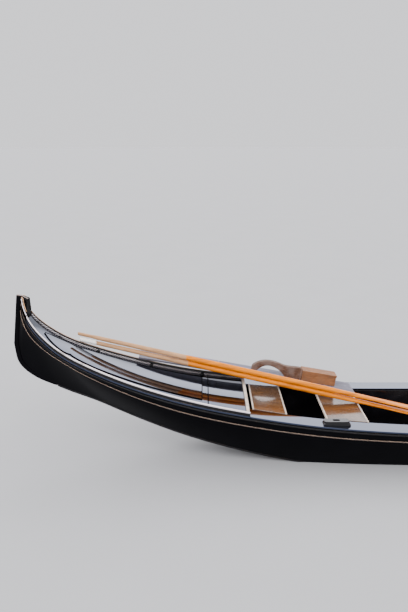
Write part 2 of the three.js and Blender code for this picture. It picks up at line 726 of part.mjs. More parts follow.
// The oarlock's block on the starboard side deck, with the socket that takes its foot.
const OARLOCK_BLOCK = { at: [2960, 3240], width: 96, top: 506, socket: [64, 36] };
function oarlockBlock() {
  const [from, to] = OARLOCK_BLOCK.at;
  const centreAt = (from + to) / 2;
  const y = middle(centreAt) - (sheer(centreAt).half - SIDE_DECK / 2);
  const body = block(from, to, y, OARLOCK_BLOCK.width / 2, (s) => flatTop(s) + GAP * 2,
    OARLOCK_BLOCK.top);
  const [long, wide] = OARLOCK_BLOCK.socket;
  const depth = 26;
  const cut = new THREE.BoxGeometry(long, wide, depth);
  cut.translate(centreAt - AMIDSHIPS, y, OARLOCK_BLOCK.top);
  return geometryOf(solid(body).subtract(solid(cut)));
}
add('oarlock_block', oarlockBlock(), LACQUER);

// What lies loose on the boat finds its slope from the highest things under it.
function support(s, y) {
  const { half } = sheer(s);
  const inboard = half - Math.abs(y - middle(s));
  if (inboard < -DECK_OVERHANG) return -Infinity;
  if (s <= AFT_LIP) {
    const onRim = inboard < RIM_WIDTH + 4;
    const onLip = s > AFT_LIP - LIP.width - 1;
    const onPanel = s >= AFT_PANEL.tip && s <= AFT_PANEL.end ? PANEL_THICK + GAP * 2 : 0;
    const extra = onRim ? RIM_HEIGHT : (onLip ? LIP.height + GAP : onPanel);
    return deckTop(s, y) + GAP + extra;
  }
  if (inboard < SIDE_DECK + 4) return flatTop(s);
  const boards = [AFT_THWART, MID_THWART];
  const over = boards.some(([from, to]) => s >= from && s <= to);
  return over ? flatUnder(s) + THWART : -Infinity;
}
// The slope of a straight thing that rests at one station and on the highest point aft.
function restSlope(restAt, restUp, from, lane, under) {
  let slope = -Infinity;
  for (let s = from; s < restAt - 300; s += 10) {
    lane(s).forEach((y) => {
      slope = Math.max(slope, (under(s, y) - restUp) / (restAt - s));
    });
  }
  return slope;
}

// The grey cover board, laid on the port side from the aft deck's rim to the middle thwart.
const COVER = { at: [1120, 3460], y: [510, 475], half: 165, thick: 20 };
const coverMiddle = (s) => (
  COVER.y[0] + ((COVER.y[1] - COVER.y[0]) * (s - COVER.at[0])) / (COVER.at[1] - COVER.at[0])
);
const REST = 0.5;
const coverRest = flatUnder(MID_THWART[1]) + THWART + REST;
const coverLane = (s) => Array.from({ length: 21 }, (_, i) => (
  coverMiddle(s) + COVER.half * (i / 10 - 1)
));
const coverSlope = restSlope(MID_THWART[1], coverRest, COVER.at[0], coverLane,
  (s, y) => support(s, y) + REST);
const coverUnder = (s) => coverRest + coverSlope * (MID_THWART[1] - s);
const coverTop = (s) => coverUnder(s) + COVER.thick;
add('cover_board', sheet(
  COVER.at, (s) => [coverMiddle(s) - COVER.half, coverMiddle(s) + COVER.half],
  coverUnder, coverTop, 1,
), GREY_BOARD);

// Two oars, one lying on the other: a round grip and loom, then a long flat blade. Each row
// is a distance from the grip's end, half the width and half the thickness.
const LOOM = 29;
const OAR_ROWS = [
  [0, 14, 14], [12, 18, 18], [150, 18, 18], [200, 22, 22], [1300, LOOM, LOOM], [2600, LOOM, LOOM],
  [3000, 38, 22], [3400, 60, 13], [4000, 75, 9], [4150, 62, 8],
];
const OAR_SIDES = 10;
const OAR_REST = MID_THWART[1];
const OARS = [
  { name: 'oar_lower', from: 520, lift: 0 },
  { name: 'oar_upper', from: 500, lift: LOOM * 2 + REST },
];
const OAR_LANE = { at: 500, y: 262, turn: -0.055 };
function oarHalf(distance) {
  const k = Math.max(OAR_ROWS.findIndex(([at]) => at >= distance), 1);
  const [a, , thickA] = OAR_ROWS[k - 1];
  const [b, , thickB] = OAR_ROWS[k];
  return thickA + ((thickB - thickA) * (distance - a)) / (b - a);
}
const oarLane = (s) => OAR_LANE.y + OAR_LANE.turn * (s - OAR_LANE.at);
const oarUnder = (s, y) => support(s, y) + oarHalf(s - OARS[0].from) + REST;
const oarRest = oarUnder(OAR_REST, oarLane(OAR_REST));
const oarSlope = restSlope(OAR_REST, oarRest, OARS[0].from,
  (s) => [oarLane(s) - 20, oarLane(s), oarLane(s) + 20], oarUnder);
OARS.forEach(({ name, from, lift }) => {
  const axis = (s) => oarRest + oarSlope * (OAR_REST - s) + lift;
  add(name, loft(OAR_ROWS.map(([distance, wide, thick]) => {
    const s = from + distance;
    return Array.from({ length: OAR_SIDES }, (_, i) => {
      const turn = (2 * Math.PI * (i + 0.5)) / OAR_SIDES;
      return place(s, oarLane(s) + wide * Math.cos(turn), axis(s) + thick * Math.sin(turn));
    });
  })), OAR_WOOD);
});

// The carved oarlock lies on its side on the cover board: an arched arm and a broad foot.
const onCover = (geometry, s, y) => {
  geometry.rotateY(Math.atan(coverSlope));
  geometry.translate(s - AMIDSHIPS, y, coverTop(s) + REST);
  return geometry;
};
const OARLOCK = { at: 2596, y: 486, thick: 58 };
function oarlock() {
  const shape = new THREE.Shape();
  shape.moveTo(270, 0);
  shape.lineTo(270, 146);
  shape.bezierCurveTo(200, 150, 130, 132, 60, 146);
  shape.bezierCurveTo(10, 160, -50, 172, -110, 166);
  shape.bezierCurveTo(-180, 158, -240, 124, -268, 84);
  shape.lineTo(-272, 0);
  shape.lineTo(-226, 0);
  shape.bezierCurveTo(-200, 66, -150, 108, -92, 112);
  shape.bezierCurveTo(-20, 114, 60, 76, 112, 0);
  const geometry = new THREE.ExtrudeGeometry(shape, {
    depth: OARLOCK.thick, bevelEnabled: false, curveSegments: 6,
  });
  geometry.rotateX(Math.PI / 2);
  return onCover(geometry, OARLOCK.at, OARLOCK.y);
}
add('oarlock', oarlock(), WALNUT);

const STEP_BOX = { at: 3067, y: 503, size: [384, 150, 124] };
function stepBox() {
  const [long, wide, high] = STEP_BOX.size;
  const geometry = new THREE.BoxGeometry(long, wide, high);
  geometry.translate(0, 0, high / 2);
  return onCover(geometry, STEP_BOX.at, STEP_BOX.y);
}
add('step_box', stepBox(), VARNISH);

export default boat;
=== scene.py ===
import math

import bmesh
import bpy
import numpy as np
from mathutils import Matrix, Vector
from mathutils.kdtree import KDTree


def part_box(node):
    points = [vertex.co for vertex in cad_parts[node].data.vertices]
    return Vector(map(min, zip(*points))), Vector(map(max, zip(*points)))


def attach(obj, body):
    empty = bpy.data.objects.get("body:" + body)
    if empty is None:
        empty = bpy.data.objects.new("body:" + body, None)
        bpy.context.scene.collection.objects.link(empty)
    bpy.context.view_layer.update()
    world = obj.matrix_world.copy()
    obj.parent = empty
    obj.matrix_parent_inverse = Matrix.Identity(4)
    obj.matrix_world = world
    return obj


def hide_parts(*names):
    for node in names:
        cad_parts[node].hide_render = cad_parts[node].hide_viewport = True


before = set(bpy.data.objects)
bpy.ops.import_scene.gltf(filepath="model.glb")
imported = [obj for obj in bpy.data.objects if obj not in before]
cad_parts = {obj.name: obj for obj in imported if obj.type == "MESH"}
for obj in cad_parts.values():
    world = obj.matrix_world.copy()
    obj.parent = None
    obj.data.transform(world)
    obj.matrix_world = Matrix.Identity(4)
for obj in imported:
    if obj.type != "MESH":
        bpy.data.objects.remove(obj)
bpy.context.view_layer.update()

bl_info = {
    "name": "Gondola boat",
    "version": (1, 0, 0),
    "blender": (4, 5, 0),
    "location": "View3D > Sidebar > Boat",
    "description": "Builds the lacquered hull, irons, seats, oars and boards of a rowing boat",
    "category": "Add Mesh",
}

MM = 0.001
ROOT = "root"
SIDES = ((1, "port"), (-1, "starboard"))

# Driving dimensions in millimetres. Places along the boat are distances forward of the
# stern's aft face, heights are above the waterline and breadths are from the middle plane.
LENGTH = 10960
AMIDSHIPS = LENGTH / 2
PORT_SHIFT = 120
STERN_AT = 18
STEM_AT = 10655
STERN_HEEL = 330
STEM_HEEL = 10440
# Planking: the sides swell by the bulge where the half breadth is enough for all of it.
PLANK = 14
BOTTOM = 18
BULGE = 16
BULGE_FULL_AT = 300
# Decks: the camber is a share of the half breadth, and the gap is between pieces that lie
# on each other.
DECK = 18
DECK_GAP = 0.4
CAMBER = 0.05
DECK_OVERHANG = 6
SIDE_DECK = 184
# Posts, and the block on the stern's.
POST_HALF = 34
POST_DEPTH = 45
POST_GAP = 0.8
STERN_TOP = 1640
HEAD_END = 80
HEAD_END_TOP = 1606
HEAD_HALF = (36, 68)
STEM_TOP = 1140
# Wells, with the lips across the decks' open ends.
FLOOR_HEIGHT = 70
FLOORBOARD = 20
COAMING = 16
COAMING_FOOT = 46
AFT_LIP = 2264
FORE_LIP = 8400
LIP_WIDTH = 30
LIP_HEIGHT = 16
BULKHEAD = 16
THWART = 24
# The rims along the end decks' edges.
RIM_WIDTH = 26
RIM_HEIGHT = 44
RIM_INSET = 2

# Hull lines. Each row: the sheer's distance, height and half breadth, then the chine's.
HULL = (
    (18, 1600, 40, -40, 1150, 28),
    (45, 1480, 80, -8, 975, 28),
    (110, 1350, 122, 100, 850, 30),
    (240, 1210, 176, 352, 712, 46),
    (430, 1072, 236, 740, 588, 112),
    (720, 938, 305, 980, 498, 158),
    (1150, 785, 378, 1280, 390, 216),
    (1650, 650, 440, 1680, 262, 280),
    (2250, 540, 505, 2270, 112, 345),
    (3000, 455, 590, 3000, -18, 402),
    (4000, 405, 662, 4000, -108, 442),
    (5200, 390, 700, 5200, -150, 456),
    (6400, 400, 690, 6400, -150, 440),
    (7600, 425, 625, 7600, -115, 388),
    (8600, 458, 520, 8600, -62, 305),
    (9300, 502, 432, 9350, 0, 222),
    (9800, 575, 346, 9870, 68, 146),
    (10150, 700, 248, 10260, 142, 78),
    (10420, 862, 152, 10490, 232, 36),
    (10570, 1010, 78, 10605, 372, 28),
    (10655, 1125, 34, 10655, 700, 28),
)
HULL_ROWS = 280


def smooth_line(points, steps):
    """Points along a centripetal Catmull-Rom curve, at steps equal steps of its parameter."""
    knots = [np.array(p, float) for p in points]
    knots = [2 * knots[0] - knots[1], *knots, 2 * knots[-1] - knots[-2]]
    out = []
    for t in np.linspace(0, len(points) - 1, steps + 1):
        i = min(int(t), len(points) - 2)
        w = t - i
        a, b, c, d = knots[i:i + 4]
        d0, d1, d2 = (np.linalg.norm(q - p) ** 0.5 for p, q in ((a, b), (b, c), (c, d)))
        leave = ((b - a) / d0 - (c - a) / (d0 + d1) + (c - b) / d1) * d1
        enter = ((c - b) / d1 - (d - b) / (d1 + d2) + (d - c) / d2) * d1
        bend = -3 * b + 3 * c - 2 * leave - enter
        turn = 2 * b - 2 * c + leave + enter
        out.append(b + leave * w + bend * w ** 2 + turn * w ** 3)
    return np.array(out)


SHEER = smooth_line([(row[0], row[2], row[1]) for row in HULL], HULL_ROWS)
CHINE = smooth_line([(row[3], row[5], row[4]) for row in HULL], HULL_ROWS)


def on_line(line, station):
    """The half breadth and height of a hull line at a station."""
    half = np.interp(station, line[:, 0], line[:, 1])
    up = np.interp(station, line[:, 0], line[:, 2])
    return float(half), float(up)


def sheer(station):
    """The half breadth and height of the side's upper edge."""
    return on_line(SHEER, station)


def chine(station):
    """The half breadth and height of the side's lower edge."""
    return on_line(CHINE, station)


def middle(station):
    """The middle plane's offset to port, because the port side is the broader one."""
    f = (station - STERN_AT) / (STEM_AT - STERN_AT)
    return PORT_SHIFT * math.sin(math.pi * min(max(f, 0), 1)) ** 2


def place(station, y, z):
    """A point in metres from a station, a breadth and a height in millimetres."""
    return ((station - AMIDSHIPS) * MM, y * MM, z * MM)


def stations(start, end, line=SHEER, closest=8):
    """Stations from start to end with the hull line's own rows between them."""
    inside = [s for s in line[:, 0] if start + closest < s < end - closest]
    return [start, *inside, end]


def about_middle(half):
    """Edges to starboard and port, from a function that gives half a width at a station."""
    def edges(station):
        return middle(station) - half(station), middle(station) + half(station)
    return edges


def deck_half(station):
    """Half the width of an end deck, over the planking on both sides."""
    return sheer(station)[0] + DECK_OVERHANG


def deck_under(station, y):
    """The height of the cambered decks' lower face."""
    half, up = sheer(station)
    v = min(abs(y - middle(station)) / deck_half(station), 1)
    return up + DECK_GAP + CAMBER * half * (1 - v * v)


def deck_top(station, y):
    """The height of the cambered decks' upper face."""
    return deck_under(station, y) + DECK


def on_deck(station, y):
    """The height at which a board lies on an end deck."""
    return deck_top(station, y) + DECK_GAP


def flat_under(station, y=0):
    """The height of the side decks' and thwarts' level lower face."""
    return flat_top(station) - DECK


def flat_top(station, y=0):
    """The height of the side decks' level upper face."""
    return sheer(station)[1] + DECK_GAP + DECK


def floor_top(station):
    """The height of the floorboards' upper face, with the gap that seats keep to it."""
    return chine(station)[1] + FLOOR_HEIGHT + FLOORBOARD + DECK_GAP


# Mesh tools

def mesh_object(name, vertices, faces, sharp=35.0):
    """A mesh with outward faces, smooth except along edges sharper than an angle."""
    mesh = bpy.data.meshes.new(name)
    mesh.from_pydata([tuple(v) for v in vertices], [], faces)
    shape = bmesh.new()
    shape.from_mesh(mesh)
    bmesh.ops.recalc_face_normals(shape, faces=shape.faces)
    shape.to_mesh(mesh)
    shape.free()
    mesh.shade_smooth()
    mesh.set_sharp_from_angle(angle=math.radians(sharp))
    piece = bpy.data.objects.new(name, mesh)
    bpy.context.scene.collection.objects.link(piece)
    return piece


def loft(name, rows, sharp=35.0):
    """A closed body through matching rings of points, with a face over each end."""
    count = len(rows[0])
    vertices = [p for row in rows for p in row]
    faces = []
    for r in range(len(rows) - 1):
        for k in range(count):
            a = r * count + k
            b = r * count + (k + 1) % count
            faces.append((a, b, b + count, a + count))
    last = (len(rows) - 1) * count
    faces.append(tuple(range(count)))
    faces.append(tuple(range(last, last + count)))
    return mesh_object(name, vertices, faces, sharp)


def sheet_rows(at, edges, under, top, columns):
    """Rings for a board across the boat, from its edges and its two surfaces."""
    rows = []
    for s in at:
        start, end = edges(s)
        across = [start + (end - start) * k / columns for k in range(columns + 1)]
        upper = [place(s, y, top(s, y)) for y in across]
        lower = [place(s, y, under(s, y)) for y in reversed(across)]
        rows.append(upper + lower)
    return rows


def round_section(radius, sides, flat=1.0):
    """A cord's section, whose height is a share of its width."""
    return [(radius * math.cos(a), radius * flat * math.sin(a))
            for a in np.linspace(0, 2 * math.pi, sides, endpoint=False)]


def sweep(name, path, section, twist=0.0, sharp=50.0):
    """A body drawn along a path. The section is (side, up) offsets in metres, and twist is
    its turn in radians for each metre of path."""
    points = [Vector(p) for p in path]
    rows = []
    run = 0.0
    for i, point in enumerate(points):
        before = points[max(i - 1, 0)]
        after = points[min(i + 1, len(points) - 1)]
        if i > 0:
            run += (point - points[i - 1]).length
        forward = (after - before).normalized()
        side = forward.cross(Vector((0, 0, 1))).normalized()
        up = side.cross(forward)
        turn = Matrix.Rotation(twist * run, 2)
        ring = [turn @ Vector(offset) for offset in section]
        rows.append([point + (side * a + up * b) for a, b in ring])
    return loft(name, rows, sharp)


def closed_sweep(name, loop, section):
    """A cord round a closed loop of points."""
    rows = []
    count = len(loop)
    middle_point = sum(loop, Vector()) / count
    for i, point in enumerate(loop):
        forward = (loop[(i + 1) % count] - loop[i - 1]).normalized()
        out = point - middle_point
        out = (out - forward * out.dot(forward)).normalized()
        up = forward.cross(out)
        rows.append([point + out * a + up * b for a, b in section])
    rows.append(rows[0])
    return loft(name, rows, 80)


def outline_body(name, outline, thick):
    """A plate in the plane Y = 0: a closed outline of (x, z) metres, and a thickness."""
    count = len(outline)
    near = [(x, -thick / 2, z) for x, z in outline]
    far = [(x, thick / 2, z) for x, z in outline]
    faces = [tuple(range(count)), tuple(range(count, 2 * count))]
    faces += [(k, (k + 1) % count, (k + 1) % count + count, k + count) for k in range(count)]
    return mesh_object(name, near + far, faces)


def plate(name, outline, start, end):
    """A board that stands across the boat: an outline of (y, z) mm between two stations."""
    return loft(name, [[place(s, y, z) for y, z in outline] for s in (start, end)], 40)


def bar(s0, s1, y0, y1, z0, z1, width=3):
    """A straight rounded board between two stations, breadths and heights."""
    rows = [[place(s, y0, z0), place(s, y1, z0), place(s, y1, z1), place(s, y0, z1)]
            for s in (s0, s1)]
    return round_edges(loft("bar", rows), width, 2)


def mark(piece, attribute, values):
    """Stores one value for each vertex, for a material to read."""
    held = piece.data.attributes.new(attribute, "FLOAT", "POINT")
    held.data.foreach_set("value", np.asarray(values, dtype=np.float32))


def round_edges(piece, width, segments=2, limit=40):
    """Rounds the edges that are sharper than a limit in degrees, by a width in mm."""
    bevel = piece.modifiers.new("rounded edges", "BEVEL")
    bevel.width = width * MM
    bevel.segments = segments
    bevel.limit_method = "ANGLE"
    bevel.angle_limit = math.radians(limit)
    bevel.harden_normals = True
    return piece


def apply_modifiers(piece):
    """Makes a piece's modifiers part of its mesh."""
    graph = bpy.context.evaluated_depsgraph_get()
    mesh = bpy.data.meshes.new_from_object(piece.evaluated_get(graph))
    piece.modifiers.clear()
    piece.data = mesh


def join(name, pieces):
    """One object from several, for parts that are one piece of the boat."""
    merged = bpy.data.meshes.new(name)
    shape = bmesh.new()
    graph = bpy.context.evaluated_depsgraph_get()
    for piece in pieces:
        whole = piece.evaluated_get(graph).to_mesh()
        whole.transform(piece.matrix_world)
        shape.from_mesh(whole)
    shape.to_mesh(merged)
    shape.free()
    for piece in pieces:
        bpy.data.objects.remove(piece)
    whole = bpy.data.objects.new(name, merged)
    bpy.context.scene.collection.objects.link(whole)
    return whole


def bezier(points, steps=12):
    """Points of a Bezier curve of any degree, without its first point."""
    out = []
    for i in range(1, steps + 1):
        t = i / steps
        level = [np.array(p, float) for p in points]
        while len(level) > 1:
            level = [a + (b - a) * t for a, b in zip(level, level[1:])]
        out.append(tuple(level[0]))
    return out


def inward(outline, distance):
    """An outline drawn in by a distance, for beads and panels that follow it."""
    points = [Vector(p) for p in outline]
    area = sum(a.x * b.y - b.x * a.y for a, b in zip(points, points[1:] + points[:1]))
    turn = 1 if area > 0 else -1
    out = []
    for i, p in enumerate(points):
        along = (points[(i + 1) % len(points)] - points[i - 1]).normalized()
        out.append(tuple(p + Vector((-along.y, along.x)) * distance * turn))
    return out


def boxy_ring(centre, half, power, z, count=40):
    """A ring at a height, round a box whose corners are rounder as the power nears 1."""
    ring = []
    for k in range(count):
        a = 2 * math.pi * k / count
        x = half[0] * math.copysign(abs(math.cos(a)) ** power, math.cos(a))
        y = half[1] * math.copysign(abs(math.sin(a)) ** power, math.sin(a))
        ring.append((centre.x + x, centre.y + y, z))
    return ring


def coat(piece, material):
    """Gives a piece its finish."""
    piece.data.materials.clear()
    piece.data.materials.append(material)


def seat(piece, material, slot, *nodes):
    """Gives a piece its finish and its body, and hides the solids that it stands for."""
    coat(piece, material)
    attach(piece, ROOT)
    if nodes:
        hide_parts(*nodes)
    return piece


# Materials

def linear(colour):
    """A hex sRGB colour as linear RGBA."""
    value = colour.lstrip("#")
    parts = [int(value[i:i + 2], 16) / 255 for i in (0, 2, 4)]
    curve = [c / 12.92 if c <= 0.04045 else ((c + 0.055) / 1.055) ** 2.4 for c in parts]
    return (*curve, 1.0)


def node(tree, kind, settings=None, links=None):
    """Adds a node with its settings, sockets' values and links."""
    item = tree.nodes.new(kind)
    for key, value in (settings or {}).items():
        if isinstance(key, int) or key in item.inputs:
            item.inputs[key].default_value = value
        else:
            setattr(item, key, value)
    for key, source in (links or {}).items():
        tree.links.new(source, item.inputs[key])
    return item


def blank_material(name):
    """A material with an empty node tree."""
    material = bpy.data.materials.get(name) or bpy.data.materials.new(name)
    material.use_nodes = True
    tree = material.node_tree
    tree.nodes.clear()
    return material, tree


def shade(tree, settings, links):
    """The surface shader and the output."""
    shader = node(tree, "ShaderNodeBsdfPrincipled", settings, links)
    node(tree, "ShaderNodeOutputMaterial", None, {"Surface": shader.outputs[0]})


def noise(tree, size, detail=3.0, stretch=(1, 1, 1), roughness=0.55):
    """Noise whose features are about a size in mm, drawn out along the axes by stretch."""
    where = node(tree, "ShaderNodeTexCoord")
    scale = node(tree, "ShaderNodeVectorMath", {"operation": "MULTIPLY", 1: stretch},
                 {0: where.outputs["Object"]})
    return node(tree, "ShaderNodeTexNoise",
                {"Scale": 1000 / size, "Detail": detail, "Roughness": roughness},
                {"Vector": scale.outputs[0]}).outputs["Fac"]


def between(tree, value, low, high, to_low=0.0, to_high=1.0):
    """A value mapped from one range to another, held at its ends."""
    return node(tree, "ShaderNodeMapRange",
                {"From Min": low, "From Max": high, "To Min": to_low, "To Max": to_high},
                {"Value": value}).outputs[0]


def mix(tree, factor, first, second):
    """A colour between two, where each is a colour or a socket."""
    item = node(tree, "ShaderNodeMix", {"data_type": "RGBA"}, {0: factor})
    for key, value in ((6, first), (7, second)):
        if isinstance(value, tuple):
            item.inputs[key].default_value = value
        else:
            tree.links.new(value, item.inputs[key])
    return item.outputs[2]


def maths(tree, operation, first, second):
    """The outcome of an operation on two values, where each is a number or a socket."""
    item = node(tree, "ShaderNodeMath", {"operation": operation})
    for key, value in ((0, first), (1, second)):
        if isinstance(value, (int, float)):
            item.inputs[key].default_value = value
        else:
            tree.links.new(value, item.inputs[key])
    return item.outputs[0]


def bump(tree, height, distance, onto=None):
    """A surface raised by up to a distance in mm, on top of another bump if one is given."""
    links = {"Height": height}
    if onto:
        links["Normal"] = onto
    return node(tree, "ShaderNodeBump", {"Distance": distance * MM, "Strength": 1.0},
                links).outputs[0]


def worn_edges(tree, radius, patches=60, keep=0.5):
    """Where the surface bends within a radius in mm, broken into patches."""
    rounded = node(tree, "ShaderNodeBevel", {"samples": 4, "Radius": radius * MM})
    true = node(tree, "ShaderNodeNewGeometry")
    dot = node(tree, "ShaderNodeVectorMath", {"operation": "DOT_PRODUCT"},
               {0: rounded.outputs[0], 1: true.outputs["Normal"]}).outputs["Value"]
    edge = between(tree, dot, 0.97, 0.8)
    patch = between(tree, noise(tree, patches), keep - 0.12, keep + 0.12)
    return maths(tree, "MULTIPLY", edge, patch)


def enamel(name, colour, roughness, wave, worn, wear, keep, gloss_index=1.6,
           dust_colour="#1d1d22", tint="#ffffff", lines=False):
    """Alkyd enamel, brushed in many coats on wood and rubbed down: a deep mirror that
    waves a little with the boards beneath, dull with dust here and there, with bare wood
    along the edges. Where lines is set, a pale cream and a tan are painted in broken lengths
    where the pale and tan attributes say: on the rims, the rope and the stern's head these
    are painted highlights along the crests."""
    material, tree = blank_material(name)
    dust = between(tree, noise(tree, 260, 5.0), 0.42, 0.75)
    film = between(tree, noise(tree, 90, 4.0, (0.3, 1, 1)), 0.3, 0.8)
    black = mix(tree, maths(tree, "MULTIPLY", dust, 0.35), linear(colour),
                linear(dust_colour))
    edge = worn_edges(tree, wear, 45, keep)
    if lines:
        # The pale and tan lines are painted highlights where the rims, the rope and the stern's
        # head mark them.
        broken = between(tree, noise(tree, 60, 5.0, (0.2, 1, 1)), 0.28, 0.42)
        for attribute, shown in (("tan", "#c79a72"), ("pale", "#fbf1f2")):
            where = node(tree, "ShaderNodeAttribute", {"attribute_name": attribute})
            line_mask = maths(tree, "MULTIPLY", where.outputs["Fac"], broken)
            black = mix(tree, line_mask, black, linear(shown))
    gloss = maths(tree, "ADD", maths(tree, "MULTIPLY", film, roughness),
                  maths(tree, "MULTIPLY", dust, roughness * 0.6))
    wavy = bump(tree, noise(tree, 420, 1.0, (0.4, 1, 1)), wave)
    peel = bump(tree, noise(tree, 14, 2.0), wave * 0.012, wavy)
    # The worn colour along the edges is wear; on the mouldings and the tan bead it is a painted
    # highlight as well.
    shade(tree, {"IOR": gloss_index, "Specular Tint": linear(tint)},
          {"Base Color": mix(tree, edge, black, linear(worn)),
           "Roughness": maths(tree, "ADD", gloss, maths(tree, "MULTIPLY", edge, 0.4)),
           "Normal": peel})
    return material


def finish(name):
    """The boat's materials by their plain names, each made once."""
    if name in bpy.data.materials:
        return bpy.data.materials[name]
    return MAKERS[name](name)


def gloss_black(name):
    """Alkyd enamel on the decks, polished: a clear mirror, its reflections tinted a cold blue
    as a painted colour of the sky.
    """
    # The blue specular tint is a painted sky colour in the reflections.
    return enamel(name, "#07070a", 0.1, 1.0, "#3a2c22", 2.5, 0.62, 1.8, tint="#bccfff")


def side_black(name):
    """Alkyd enamel on the hull's sides, wetted and dried: deep black with faint sheen."""
    return enamel(name, "#030305", 0.2, 1.2, "#3a2c22", 2.5, 0.62, 1.14, "#09090d")


def dulled_black(name):
    """Alkyd enamel rubbed matt by hands and feet: black with hardly a reflection."""
    return enamel(name, "#030304", 0.8, 0.8, "#3a2c22", 2.5, 0.66, 1.04, "#09090c")


def carved_black(name):
    """Alkyd enamel brushed on carved wood: soft gloss, thin and brown on the crests, and
    pale on the rope's strands as a painted highlight.
    """
    return enamel(name, "#0a090b", 0.3, 0.6, "#5a4636", 3.0, 0.55, 1.4, lines=True)


def moulding_black(name):
    """Alkyd enamel on long mouldings, knocked each day: black, the rounded edges pale tan
    with wear and painted highlight, and pale and tan lines of painted highlight.
    """
    return enamel(name, "#080708", 0.2, 0.3, "#a98d74", 4.0, 0.55, 1.35, "#121216",
                  lines=True)


def bead_tan(name):
    """Alkyd enamel on a thin bead: brown, with pale patches over its round that are wear
    through to the wood and a painted highlight.
    """
    return enamel(name, "#3a2b22", 0.22, 0.3, "#e0bfa2", 8.0, 0.3)


def forged_steel(name):
    """Forged steel, ground and wiped with oil: a broad soft mirror with fine scratches,
    bands of grey, blue, violet and brown up its height as a painted reflection of a shore
    and sky, and dark stain near the roots."""
    material, tree = blank_material(name)
    where = node(tree, "ShaderNodeTexCoord")
    up = node(tree, "ShaderNodeSeparateXYZ", None, {0: where.outputs["Object"]}).outputs["Z"]
    drift = maths(tree, "MULTIPLY", maths(tree, "SUBTRACT", noise(tree, 240, 2.0), 0.5), 0.5)
    height = maths(tree, "ADD", up, drift)
    # Painted reflection: the colour runs in bands up the iron's height, as if it mirrored a
    # shore and sky.
    ramp = node(tree, "ShaderNodeValToRGB", None,
                {0: between(tree, height, 0.6, 1.7)})
    reflection_stops = ((0.0, "#4d4744"), (0.34, "#625d5b"), (0.55, "#4e5468"), (0.7, "#5f5668"),
             (0.84, "#856049"), (1.0, "#55473e"))
    band = ramp.color_ramp.elements
    band[0].position, band[0].color = reflection_stops[0][0], linear(reflection_stops[0][1])
    band[1].position, band[1].color = reflection_stops[-1][0], linear(reflection_stops[-1][1])
    for at, colour in reflection_stops[1:-1]:
        band.new(at).color = linear(colour)
    scratches = noise(tree, 30, 6.0, (0.05, 1, 1.6), 0.7)
    cloud = between(tree, noise(tree, 130, 4.0), 0.35, 0.7)
    rough = maths(tree, "ADD", between(tree, scratches, 0.3, 0.7, 0.2, 0.34),
                  maths(tree, "MULTIPLY", cloud, 0.08))
    stain = maths(tree, "MULTIPLY", between(tree, noise(tree, 70, 5.0), 0.55, 0.75), 0.35)
    edge = worn_edges(tree, 2.5, 80, 0.2)
    surface = mix(tree, stain, ramp.outputs[0], linear("#332e2c"))
    shade(tree, {"Metallic": 1.0},
          {"Base Color": mix(tree, edge, surface, linear("#e4dfe6")), "Roughness": rough,
           "Normal": bump(tree, noise(tree, 160, 1.0), 0.8,
                          bump(tree, scratches, 0.04))})
    return material


def cast_brass(name):
    """Cast yellow brass, polished and gone a little dull in the hollows."""
    material, tree = blank_material(name)
    dull = between(tree, noise(tree, 12, 4.0), 0.4, 0.7)
    shade(tree, {"Metallic": 1.0},
          {"Base Color": mix(tree, dull, linear("#e8bf62"), linear("#9c7434")),
           "Roughness": between(tree, dull, 0, 1, 0.2, 0.42),
           "Normal": bump(tree, noise(tree, 5, 2.0), 0.1)})
    return material


def grained(tree, light, dark, ring, along=0.06, contrast=(0.35, 0.68)):
    """Straight grain drawn out along X, as a colour and its height."""
    fine = noise(tree, ring, 6.0, (along, 1, 1), 0.65)
    broad = noise(tree, ring * 7, 3.0, (along * 2, 1, 1))
    tone = maths(tree, "ADD", maths(tree, "MULTIPLY", fine, 0.6),
                 maths(tree, "MULTIPLY", broad, 0.4))
    return mix(tree, between(tree, tone, *contrast), linear(light), linear(dark)), fine


def varnished_board(name):
    """Larch board, oiled and varnished: dark brown bands under a soft clear gloss, with
    the varnish gone white along the edges."""
    material, tree = blank_material(name)
    colour, fine = grained(tree, "#6b4c31", "#382518", 9)
    edge = worn_edges(tree, 7, 120, 0.3)
    smear = between(tree, noise(tree, 110, 3.0, (1, 0.5, 1)), 0.4, 0.7)
    shaded = mix(tree, maths(tree, "MULTIPLY", smear, 0.5), colour, linear("#33241a"))
    shade(tree, {"IOR": 1.3, "Coat Weight": 0.35, "Coat Roughness": 0.05, "Coat IOR": 1.5},
          {"Base Color": mix(tree, edge, shaded, linear("#d8cfc4")),
           "Roughness": between(tree, smear, 0, 1, 0.15, 0.3),
           "Normal": bump(tree, fine, 0.05, bump(tree, noise(tree, 200, 1.0), 0.6))})
    return material


def bare_board(name):
    """Bare softwood edging, pale, with the soft grain raised."""
    material, tree = blank_material(name)
    colour, fine = grained(tree, "#ded4c8", "#b39c86", 6)
    dirt = between(tree, noise(tree, 60, 4.0), 0.5, 0.8)
    shade(tree, {"IOR": 1.5, "Specular IOR Level": 0.4},
          {"Base Color": mix(tree, dirt, colour, linear("#7d6b5c")),
           "Roughness": between(tree, fine, 0.3, 0.7, 0.45, 0.7),
           "Normal": bump(tree, fine, 0.3)})
    return material


